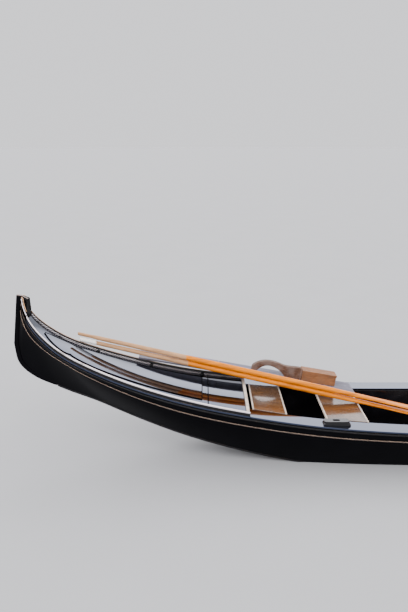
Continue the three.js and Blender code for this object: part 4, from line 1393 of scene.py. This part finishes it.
class BOAT_OT_irons(bpy.types.Operator):
    """Builds the toothed bow iron, its brass strips and the stern iron"""
    bl_idname = "boat.irons"
    bl_label = "Irons"

    # The gaps between teeth, counted from the top, that hold a brass strip, and the strip's
    # length, its wire's radius and its number of curls.
    STRIP_GAPS = (3, 5)
    STRIP_LENGTH, WIRE, CURLS = 150, 1.6, 9
    # The stern's strap: its width, its thickness, its gap to the post and its foot's height.
    STERN_WIDTH, STERN_THICK, STERN_GAP, STERN_FOOT = 30, 4, 0.8, 925

    def execute(self, context):
        steel = finish("forged steel, ground")
        outline = flat_outline([(x + IRON_AT, z) for x, z in iron_outline()])
        iron = round_edges(outline_body("toothed_iron", outline, IRON * MM), 2.2, 3, 30)
        seat(iron, steel, "steel", "bow_iron")
        self.collar(steel)
        for i, gap in enumerate(self.STRIP_GAPS):
            self.strip(i + 1, gap)
        self.stern(steel)
        return {"FINISHED"}

    def collar(self, steel):
        """The raised band where the blade's root turns into the strap."""
        start, end, up, high, proud = -3, SPINE + 3, 640, 22, 3
        rows = []
        for k in range(9):
            turn = math.pi * k / 8
            z = up + high * (1 - math.cos(turn)) / 2
            out = IRON / 2 + proud * math.sin(turn)
            rows.append([(start, -out, z), (end, -out, z), (end, out, z), (start, out, z)])
        placed = [[place(IRON_AT + x, y, z) for x, y, z in row] for row in rows]
        seat(loft("iron_collar", placed, 60), steel, "steel")

    def strip(self, number, gap):
        """A pierced brass strip: two rails with a row of curls between them."""
        up = TOOTH["first"] - gap * TOOTH["pitch"] + (TOOTH["pitch"] - TOOTH["height"]) / 2
        start = SPINE + 1
        length, tilt = self.STRIP_LENGTH, TOOTH["rise"] / TOOTH["reach"]
        base = up + TOOTH["rise"] / 2 - tilt * length / 2

        def at(along, y, z):
            return place(IRON_AT + start + along, y, base + tilt * along + z)

        pieces = []
        ring = round_section(self.WIRE * MM, 8)
        for lift in (-4, 4):
            path = [at(length * k / 20, 0, lift) for k in range(21)]
            pieces.append(sweep("rail", path, ring))
        for c in range(self.CURLS):
            centre = length * (c + 0.5) / self.CURLS
            size = 7.0 if c == self.CURLS // 2 else 4.5
            path = []
            for k in range(25):
                a = 2 * math.pi * k / 24
                path.append(at(centre + size * math.cos(a), 2.2 * math.sin(3 * a),
                               size * 0.8 * math.sin(a)))
            pieces.append(sweep("curl", path, ring))
        seat(join(f"brass_scroll_{number}", pieces), finish("cast brass, polished"), "brass",
             f"brass_strip_{number}")

    def stern(self, steel):
        """A strap up the back of the post and forward over the head."""
        offset = post_line(STERN_AT, STERN_TOP, STERN_HEEL)
        outward = offset(1)[0] - offset(0)[0]

        def lay(distance):
            back = [p for p in offset(POST_DEPTH + distance) if p.y > self.STERN_FOOT]
            corner = back[0] + Vector((outward.y, -outward.x)) * distance
            return [Vector((HEAD_END, HEAD_END_TOP + distance)),
                    Vector((STERN_AT, STERN_TOP + distance)), corner, *back[1:]]

        inner, outer = lay(self.STERN_GAP), lay(self.STERN_GAP + self.STERN_THICK)
        count = min(len(inner), len(outer))
        outline = flat_outline(inner[:count] + list(reversed(outer[:count])))
        strap = outline_body("stern_strap", outline, self.STERN_WIDTH * MM)
        seat(round_edges(strap, 1.2, 2, 40), steel, "steel", "stern_iron")


# What is stowed: oars, oarlock, cover board and step box

def plane_of(name):
    """The flat top of a straight board's solid: a height and slope along X, in metres."""
    points = [v.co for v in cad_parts[name].data.vertices]
    aft = max((p for p in points if p.x < min(q.x for q in points) + 0.01), key=lambda p: p.z)
    fore = max((p for p in points if p.x > max(q.x for q in points) - 0.01),
               key=lambda p: p.z)
    return aft, (fore.z - aft.z) / (fore.x - aft.x)


class BOAT_OT_cover(bpy.types.Operator):
    """Builds the grey cover board, in three boards laid end to end"""
    bl_idname = "boat.cover"
    bl_label = "Cover board"

    # Its ends' stations, and its middle's breadths there.
    START, END = 1120, 3460
    LINE = (510, 475)
    HALF, THICK = 165, 20
    # Where the boards meet, as shares of the length, and half the seam's width.
    SEAMS, SEAM = (0.37, 0.7), 1.5

    def centre(self, station):
        """The breadth of the cover's middle, which runs at a slight angle."""
        f = (station - self.START) / (self.END - self.START)
        return self.LINE[0] + (self.LINE[1] - self.LINE[0]) * f

    def edges(self, station):
        """The cover's two edges at a station."""
        return self.centre(station) - self.HALF, self.centre(station) + self.HALF

    def execute(self, context):
        aft, slope = plane_of("cover_board")

        def top(s, y):
            return (aft.z + slope * ((s - AMIDSHIPS) * MM - aft.x)) / MM

        def under(s, y):
            return top(s, y) - self.THICK

        cuts = [0, *self.SEAMS, 1]
        boards = []
        for a, b in zip(cuts, cuts[1:]):
            start = self.START + (self.END - self.START) * a + (self.SEAM if a else 0)
            end = self.START + (self.END - self.START) * b - (self.SEAM if b < 1 else 0)
            at = [start + (end - start) * k / 10 for k in range(11)]
            rows = sheet_rows(at, self.edges, under, top, 6)
            boards.append(round_edges(loft("board", rows), 2.5, 2))
        board = join("cover_boards", boards)
        seat(board, finish("plywood, grey paint"), "grey_board", "cover_board")
        return {"FINISHED"}


class BOAT_OT_oars(bpy.types.Operator):
    """Builds the two oars: round grip and loom, long flat blade"""
    bl_idname = "boat.oars"
    bl_label = "Oars"

    # Distance from the grip's end, half the width and half the thickness.
    ROWS = ((0, 14, 14), (12, 18, 18), (150, 18, 18), (200, 22, 22), (1300, 29, 29),
            (2600, 29, 29), (3000, 38, 22), (3400, 60, 13), (4000, 75, 9), (4150, 62, 8))
    OARS = (("lower", 520), ("upper", 500))
    # Both oars lie along one line: a station and breadth on it, and its slope to starboard.
    LANE_AT, LANE_Y, LANE_TURN = 500, 262, -0.055
    # Where the varnish starts and ends, and the lower oar's white sleeve: its length and
    # thickness.
    RAW_GRIP, RAW_BLADE, SLEEVE, SLEEVE_THICK = 1150, 3300, 175, 4
    SIDES_ROUND = 24

    def execute(self, context):
        for name, start in self.OARS:
            self.oar(name, start)
        return {"FINISHED"}

    def oar(self, name, start):
        """One oar, laid along its solid from the grip's height to the blade's."""
        points = [v.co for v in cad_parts[f"oar_{name}"].data.vertices]
        length = self.ROWS[-1][0]
        ends = []
        for x in (min(p.x for p in points), max(p.x for p in points)):
            near = [p for p in points if abs(p.x - x) < 0.004]
            ends.append((max(p.z for p in near) + min(p.z for p in near)) / 2 / MM)
        at = np.unique(np.concatenate([
            np.linspace(0, 30, 9), np.linspace(30, 260, 24), np.linspace(260, 1080, 18),
            np.linspace(1080, 1220, 36), np.linspace(1220, length - 10, 80),
            [length - 4, length]]))
        wide = np.interp(at, [r[0] for r in self.ROWS], [r[1] for r in self.ROWS])
        thick = np.interp(at, [r[0] for r in self.ROWS], [r[2] for r in self.ROWS])
        sleeve = self.SLEEVE if name == "lower" else 0
        around = self.SIDES_ROUND
        rows = []
        for d, w, t in zip(at, wide, thick):
            s = start + d
            wrap = self.SLEEVE_THICK * np.clip((sleeve - d) / 6, 0, 1)
            w, t = w + wrap, t + wrap
            centre_y = self.LANE_Y + self.LANE_TURN * (s - self.LANE_AT)
            centre_z = ends[0] + (ends[1] - ends[0]) * d / length
            rows.append([place(s, centre_y + w * math.cos(2 * math.pi * k / around),
                               centre_z + t * math.sin(2 * math.pi * k / around))
                         for k in range(around)])
        oar = loft(f"oar_{name}_shaped", rows, 50)
        along = np.repeat(at, around)
        mark(oar, "raw", np.maximum(np.clip((self.RAW_GRIP - along) / 30, 0, 1),
                                    np.clip((along - self.RAW_BLADE) / 500, 0, 1)))
        mark(oar, "sleeve", np.clip((sleeve - along) / 8, 0, 1))
        seat(oar, finish("ash, oar varnish"), "oar_wood", f"oar_{name}")


class BOAT_OT_fittings(bpy.types.Operator):
    """Builds the carved oarlock, its block on the side deck and the step box"""
    bl_idname = "boat.fittings"
    bl_label = "Oarlock, block and step box"

    # Station and breadth of the two things on the cover board.
    OARLOCK_AT, STEP_BOX_AT = (2596, 486), (3067, 503)
    OARLOCK_THICK = 58

    def execute(self, context):
        self.oarlock()
        self.block()
        self.step_box()
        return {"FINISHED"}

    def on_cover(self, points, spot):
        """Points in mm about a spot on the cover board, laid on the board's slope."""
        station, y = spot
        aft, slope = plane_of("cover_board")
        turn = math.atan(slope)
        level = aft.z / MM + slope * ((station - AMIDSHIPS) - aft.x / MM) + 0.5
        out = []
        for x, across, up in points:
            out.append(place(station + x * math.cos(turn) - up * math.sin(turn), y + across,
                             level + x * math.sin(turn) + up * math.cos(turn)))
        return out

    def oarlock(self):
        """The crook: a thick plank of root sawn to an arch, its edges carved round."""
        line = [(270, 0), (270, 146)]
        line += bezier([line[-1], (200, 150), (130, 132), (60, 146)], 10)
        line += bezier([line[-1], (10, 160), (-50, 172), (-110, 166)], 10)
        line += bezier([line[-1], (-180, 158), (-240, 124), (-268, 84)], 10)
        line += [(-272, 0), (-226, 0)]
        line += bezier([line[-1], (-200, 66), (-150, 108), (-92, 112)], 10)
        line += bezier([line[-1], (-20, 114), (60, 76), (112, 0)], 12)
        rows = [self.on_cover([(x, across, up) for x, up in line], self.OARLOCK_AT)
                for across in (-self.OARLOCK_THICK, 0)]
        crook = round_edges(loft("oarlock_carved", rows, 40), 9, 4, 30)
        seat(crook, finish("walnut, oiled"), "walnut", "oarlock")

    def block(self):
        """A waisted block with a socket for the oarlock's foot cut in its top."""
        low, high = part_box("oarlock_block")
        centre, half = (low + high) / 2, (high - low) / 2
        rows = []
        for f, share in ((0, 1.0), (0.25, 1.0), (0.55, 0.9), (0.8, 0.86), (1.0, 0.86)):
            rows.append(boxy_ring(centre, (half.x * share, half.y * share), 0.35,
                                  low.z + (high.z - low.z) * f))
        for f in (1.0, 0.75):
            rows.append(boxy_ring(centre, (0.032, 0.018), 0.3, low.z + (high.z - low.z) * f))
        block = round_edges(loft("oarlock_block_shaped", rows, 40), 2.5, 2, 40)
        seat(block, finish("black enamel on carving"), "lacquer", "oarlock_block")

    def step_box(self):
        """Three boards on top and one along each side, nailed to two end boards."""
        long, wide, high = 384, 150, 124
        boards = []

        def board(x0, x1, y0, y1, z0, z1):
            ends = []
            for x in (x0, x1):
                ends.append(self.on_cover([(x, y0, z0), (x, y1, z0), (x, y1, z1),
                                           (x, y0, z1)], self.STEP_BOX_AT))
            boards.append(round_edges(loft("board", ends), 2, 2))

        half_l, half_w = long / 2, wide / 2
        for k in range(3):
            step = wide / 3
            board(-half_l, half_l, -half_w + k * step + 1, -half_w + (k + 1) * step - 1,
                  high - 18, high)
        for x in (-half_l + 4, half_l - 22):
            board(x, x + 18, -half_w + 4, half_w - 4, 0, high - 18.5)
        for y in (-half_w + 3, half_w - 19):
            board(-half_l + 23, half_l - 23, y, y + 16, 3, high - 18.5)
        seat(join("step_box_boards", boards), finish("pine, sawn"), "varnish", "step_box")


# The seats

def superellipse(half, count, power, pull):
    """Points round a cushion's outline, whose sides pull in between the corners."""
    out = []
    for k in range(count):
        a = 2 * math.pi * k / count
        c, s = math.cos(a), math.sin(a)
        r = (abs(c) ** power + abs(s) ** power) ** (-1 / power)
        u, w = c * r, s * r
        out.append((u * half[0] * (1 - pull * (1 - w * w)),
                    w * half[1] * (1 - pull * (1 - u * u))))
    return out


class Cushion:
    """A stuffed and buttoned cushion in a box. Its thin axis is up for a seat's, along the
    boat for a back's, and it is flat on the face that rests."""
    # Shares of half the thickness: the front's edge, the crown above it, a button's dip in
    # that and the flat rear. Then the welt's share of the edge's height, and the share of
    # its height that a button's foot keeps.
    EDGE, CROWN, DIP, REAR = 0.66, 0.34, 0.3, 0.98
    WELT, FOOT = 0.86, 0.98
    # The cut shape's share of the width, how far its sides pull in between the corners, and
    # the powers that round its outline and its body.
    SHRINK, PULL, CORNER, BODY = 0.93, 0.03, 5.0, 6
    # In metres: how far a dip spreads, a button's radius, its dome, its sinking and its
    # place off the dip's centre, and the radius of the welt's cord.
    DIP_SPREAD, BUTTON, DOME, SUNK, OFF_CENTRE, CORD = 0.035, 0.011, 0.008, 0.006, 0.0001, 0.0042
    # In metres: the voxel, the most that the cloth may swell, and its space in the box.
    VOXEL, CAP, CLEAR = 0.007, 0.022, 0.0005
    # The cloth is held this near to the welt, and beyond these shares of a button's dip and
    # of half the thickness at the rear.
    HELD_WELT, HELD_DIP, HELD_REAR = 0.009, 0.8, 0.9
    PRESSURE, QUALITY, FRAMES = 4, 5, 20
    WELT_POINTS, BUTTON_SIDES, BUTTON_RINGS = 96, 14, 4

    def __init__(self, name, node_name, thin, buttons):
        low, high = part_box(node_name)
        self.name, self.node_name = name, node_name
        self.centre, self.half = (low + high) / 2, (high - low) / 2
        self.thin = thin
        self.wide = [axis for axis in range(3) if axis != thin]
        across, along = self.half[self.wide[0]], self.half[self.wide[1]]
        self.buttons = [(across * (2 * (i + 0.5) / buttons[0] - 1),
                         along * (2 * (j + 0.5) / buttons[1] - 1))
                        for i in range(buttons[0]) for j in range(buttons[1])]

    def point(self, u, w, t):
        """A point from two places in the cushion's plane and one through it."""
        out = Vector(self.centre)
        out[self.wide[0]] += u
        out[self.wide[1]] += w
        out[self.thin] += t
        return out

    def dip(self, u, w):
        """How far a place is drawn down by the nearest button, from 0 to 1."""
        depth = 0.0
        for a, b in self.buttons:
            r = math.hypot(u - a, w - b)
            depth = max(depth, math.exp(-(r / self.DIP_SPREAD) ** 2))
        return depth

    def form(self):
        """The cut shape: a soft box, crowned in front and drawn down at the buttons."""
        shape = bmesh.new()
        bmesh.ops.create_cube(shape, size=2)
        bmesh.ops.subdivide_edges(shape, edges=shape.edges, cuts=31, use_grid_fill=True)
        half_u, half_w = (self.half[axis] * self.SHRINK for axis in self.wide)
        half_t = self.half[self.thin]
        for vertex in shape.verts:
            co = [vertex.co[self.wide[0]], vertex.co[self.wide[1]], vertex.co[self.thin]]
            length = sum(abs(v) ** self.BODY for v in co) ** (1 / self.BODY)
            u, w, t = (v / length for v in co)
            swell = self.EDGE + self.CROWN * (1 - u * u) * (1 - w * w)
            across = u * half_u * (1 - self.PULL * (1 - w * w))
            along = w * half_w * (1 - self.PULL * (1 - u * u))
            if t > 0:
                level = t * half_t * (swell - self.DIP * self.dip(across, along))
            else:
                level = t * half_t * self.REAR
            vertex.co = self.point(across, along, level)
        mesh = bpy.data.meshes.new(self.name)
        shape.to_mesh(mesh)
        shape.free()
        pad = bpy.data.objects.new(self.name, mesh)
        bpy.context.scene.collection.objects.link(pad)
        return pad

    def seam(self):
        """The welt's line round the front edge."""
        half = [self.half[axis] * self.SHRINK for axis in self.wide]
        level = self.half[self.thin] * self.EDGE * self.WELT
        return [self.point(u, w, level)
                for u, w in superellipse(half, self.WELT_POINTS, self.CORNER, self.PULL)]

    def swell(self, pad):
        """Remeshes the cut shape and blows it up as cloth, held at its buttons and welt."""
        remesh = pad.modifiers.new("remesh", "REMESH")
        remesh.mode, remesh.voxel_size = "VOXEL", self.VOXEL
        apply_modifiers(pad)
        line = KDTree(self.WELT_POINTS)
        for i, point in enumerate(self.seam()):
            line.insert(point, i)
        line.balance()
        start = [vertex.co.copy() for vertex in pad.data.vertices]
        rear = self.centre[self.thin] - self.HELD_REAR * self.half[self.thin]
        held = []
        for i, co in enumerate(start):
            u, w = (co[axis] - self.centre[axis] for axis in self.wide)
            if (line.find(co)[2] < self.HELD_WELT or self.dip(u, w) > self.HELD_DIP
                    or co[self.thin] < rear):
                held.append(i)
        pad.vertex_groups.new(name="held").add(held, 1.0, "REPLACE")
        cloth = pad.modifiers.new("stuffing", "CLOTH")
        cloth.settings.use_pressure = True
        cloth.settings.uniform_pressure_force = self.PRESSURE
        cloth.settings.effector_weights.gravity = 0
        cloth.settings.vertex_group_mass = "held"
        cloth.settings.quality = self.QUALITY
        for frame_number in range(1, self.FRAMES + 1):
            bpy.context.scene.frame_set(frame_number)
        graph = bpy.context.evaluated_depsgraph_get()
        blown = [vertex.co.copy() for vertex in pad.evaluated_get(graph).data.vertices]
        pad.modifiers.clear()
        bpy.context.scene.frame_set(1)
        for vertex, before, after in zip(pad.data.vertices, start, blown):
            move = after - before
            if move.length > self.CAP:
                move *= self.CAP / move.length
            co = before + move
            for axis in range(3):
                reach = self.half[axis] - self.CLEAR
                offset = co[axis] - self.centre[axis]
                co[axis] = self.centre[axis] + min(max(offset, -reach), reach)
            vertex.co = co

    def build(self, material, slot):
        """The stuffed pad, then its welt and buttons as a second piece."""
        pad = self.form()
        self.swell(pad)
        pad.data.shade_smooth()
        seat(pad, material, slot, self.node_name)
        trim = [closed_sweep("welt", self.seam(), round_section(self.CORD, 8))]
        top = self.half[self.thin] * (self.EDGE + self.CROWN - self.DIP)
        for u, w in self.buttons:
            trim.append(self.button(self.point(u, w, (top - self.SUNK) * self.FOOT)))
        seat(join(f"{self.name}_welt_and_buttons", trim), material, slot)

    def button(self, centre):
        """A covered button: a low dome."""
        rows = []
        for i in range(self.BUTTON_RINGS + 1):
            a = math.radians(84) * i / self.BUTTON_RINGS
            reach = self.BUTTON * math.cos(a)
            ring = []
            for k in range(self.BUTTON_SIDES):
                b = 2 * math.pi * k / self.BUTTON_SIDES
                offset = Vector((0, 0, 0))
                offset[self.wide[0]] = reach * math.cos(b) + self.OFF_CENTRE
                offset[self.wide[1]] = reach * math.sin(b) + self.OFF_CENTRE
                offset[self.thin] = self.DOME * math.sin(a)
                ring.append(centre + offset)
            rows.append(ring)
        return loft("button", rows, 60)


class BOAT_OT_seats(bpy.types.Operator):
    """Builds the sofa, the two heart backed chairs and their cushions"""
    bl_idname = "boat.seats"
    bl_label = "Seats"

    # Each cushion's solid, its thin axis and its rows of buttons.
    CUSHIONS = (("sofa_seat_cushion", 2, (2, 4)), ("sofa_back_cushion", 0, (4, 3)),
                ("chair_cushion_port", 2, (1, 1)), ("chair_cushion_starboard", 2, (1, 1)))
    # The sofa back: its two faces, the heights of its outline, and how far in from the
    # outline its bead and its panel lie.
    BACK_FACES, SHOULDER, CREST = (4965, 5010), 560, 730
    BEAD_INSET, BEAD_RADIUS, PANEL_INSET = 26, 0.006, 62

    def execute(self, context):
        red = finish("wool cloth, red")
        for name, thin, buttons in self.CUSHIONS:
            Cushion(f"{name}_stuffed", name, thin, buttons).build(red, "red_cloth")
        self.sofa_back()
        self.sofa_base()
        for _, name in SIDES:
            self.chair(name, red)
        return {"FINISHED"}

    def sofa_back(self):
        """A carved board with a bead inside its outline and a raised panel behind."""
        low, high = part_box("sofa_back")
        centre = (low.y + high.y) / 2 / MM
        half = (high.y - low.y) / 2 / MM
        foot, shoulder, crest = low.z / MM, self.SHOULDER, self.CREST
        start, end = self.BACK_FACES
        outline = [(-half, foot), (half, foot), (half, shoulder)]
        outline += bezier([outline[-1], (half * 0.75, shoulder + 90), (half * 0.4, shoulder),
                           (0, crest)], 18)
        outline += bezier([outline[-1], (-half * 0.4, shoulder), (-half * 0.75, shoulder + 90),
                           (-half, shoulder)], 18)
        placed = [(y + centre, z) for y, z in outline]
        board = round_edges(plate("sofa_backboard", placed, start, end), 6, 3)
        seat(board, finish("black enamel on carving"), "lacquer", "sofa_back")
        ring = round_section(self.BEAD_RADIUS, 10)
        loop = inward(placed, self.BEAD_INSET)
        beads = [closed_sweep("bead", [Vector(place(s, y, z)) for y, z in loop], ring)
                 for s in (start + 1, end - 1)]
        panel = plate("panel", inward(placed, self.PANEL_INSET), start - 4, start + 2)
        beads.append(round_edges(panel, 3))
        bead = join("sofa_back_carving", beads)
        mark(bead, "tan", [0.8] * len(bead.data.vertices))
        seat(bead, finish("black enamel on carving"), "lacquer")

    def sofa_base(self):
        """A plinth of corner posts and rails round sunk panels."""
        low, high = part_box("sofa_base")
        s0, s1 = (v / MM + AMIDSHIPS for v in (low.x, high.x))
        y0, y1, z0, z1 = low.y / MM, high.y / MM, low.z / MM, high.z / MM
        post, rail, sunk = 46, 42, 9
        pieces = [bar(s0 + sunk, s1 - sunk, y0 + sunk, y1 - sunk, z0 + 2, z1 - 1)]
        for s in (s0, s1 - post):
            for y in (y0, y1 - post):
                pieces.append(bar(s, s + post, y, y + post, z0, z1))
        for z in (z0 + 2, z1 - rail - 0.5):
            pieces.append(bar(s1 - 14, s1 - 1, y0 + post, y1 - post, z, z + rail))
            pieces.append(bar(s0 + 1, s0 + 14, y0 + post, y1 - post, z, z + rail))
            for y in (y0 + 1, y1 - 14):
                pieces.append(bar(s0 + post, s1 - post, y, y + 13, z, z + rail))
        seat(join("sofa_plinth", pieces), finish("black enamel on carving"), "lacquer",
             "sofa_base")

    def chair(self, name, red):
        """A black frame on square tapered legs, and a heart shaped back in red cloth."""
        low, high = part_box(f"chair_{name}")
        s0, s1 = (v / MM + AMIDSHIPS for v in (low.x, high.x))
        centre = (low.y + high.y) / 2 / MM
        half, leg, up, board, thick = 165, 34, 210, 22, 34
        pieces = [bar(s0, s1, centre - half, centre + half, up - board, up, 5)]
        for s in (s0, s1 - leg):
            for y in (centre - half, centre + half - leg):
                foot = floor_top(s + leg / 2) + 0.6
                rows = []
                for z, inset in ((foot, 7), (foot + 20, 5), (up - 70, 1), (up - board + 1, 0)):
                    rows.append([place(s + inset, y + inset, z),
                                 place(s + leg - inset, y + inset, z),
                                 place(s + leg - inset, y + leg - inset, z),
                                 place(s + inset, y + leg - inset, z)])
                pieces.append(round_edges(loft("leg", rows), 4, 2))
        heart = [(-half * 0.55, up - 10), (half * 0.55, up - 10)]
        heart += bezier([heart[-1], (half, 330), (half * 1.15, 470), (half, 560)], 16)
        heart += bezier([heart[-1], (half * 0.8, 650), (half * 0.15, 620), (0, 560)], 16)
        heart += bezier([heart[-1], (-half * 0.15, 620), (-half * 0.8, 650), (-half, 560)], 16)
        heart += bezier([heart[-1], (-half * 1.15, 470), (-half, 330), heart[0]], 16)[:-1]
        heart = [(y + centre, z) for y, z in heart]
        pieces.append(round_edges(plate("heart", heart, s1 - thick + 5, s1 - 5), 4, 3))
        seat(join(f"chair_frame_{name}", pieces), finish("black enamel on carving"),
             "red_cloth", f"chair_{name}")
        pads = []
        for face, toward in ((s1 - thick + 5, -1), (s1 - 5, 1)):
            rows = []
            for inset, proud in ((9, -1), (9, 1.5), (12, 3.4), (17, 4.4), (24, 4.9), (32, 5)):
                ring = inward(heart, inset)
                rows.append([place(face + toward * proud, y, z) for y, z in ring])
            pads.append(loft("pad", rows, 70))
        pad = join(f"chair_back_pad_{name}", pads)
        seat(pad, red, "red_cloth")


# The panel and the run

OPERATORS = (BOAT_OT_stage, BOAT_OT_hull, BOAT_OT_decks, BOAT_OT_rims, BOAT_OT_wells,
             BOAT_OT_irons, BOAT_OT_cover, BOAT_OT_oars, BOAT_OT_fittings, BOAT_OT_seats)


class BOAT_PT_sidebar(bpy.types.Panel):
    """Lists the boat's settings and the operators that build it"""
    bl_idname = "BOAT_PT_sidebar"
    bl_label = "Gondola boat"
    bl_space_type = "VIEW_3D"
    bl_region_type = "UI"
    bl_category = "Boat"

    def draw(self, context):
        for settings in (context.scene.boat_stage, context.scene.boat_trim):
            for key in settings.bl_rna.properties.keys():
                if key not in ("rna_type", "name"):
                    self.layout.prop(settings, key)
        for operator in OPERATORS:
            self.layout.operator(operator.bl_idname)


CLASSES = (BoatStage, BoatTrim, *OPERATORS, BOAT_PT_sidebar)


def register():
    for item in CLASSES:
        bpy.utils.register_class(item)
    bpy.types.Scene.boat_stage = bpy.props.PointerProperty(type=BoatStage)
    bpy.types.Scene.boat_trim = bpy.props.PointerProperty(type=BoatTrim)


def unregister():
    del bpy.types.Scene.boat_trim
    del bpy.types.Scene.boat_stage
    for item in reversed(CLASSES):
        bpy.utils.unregister_class(item)


def main():
    """Builds everything in order."""
    register()
    for operator in OPERATORS:
        group, name = operator.bl_idname.split(".")
        getattr(getattr(bpy.ops, group), name)()


if __name__ == "__main__":
    main()
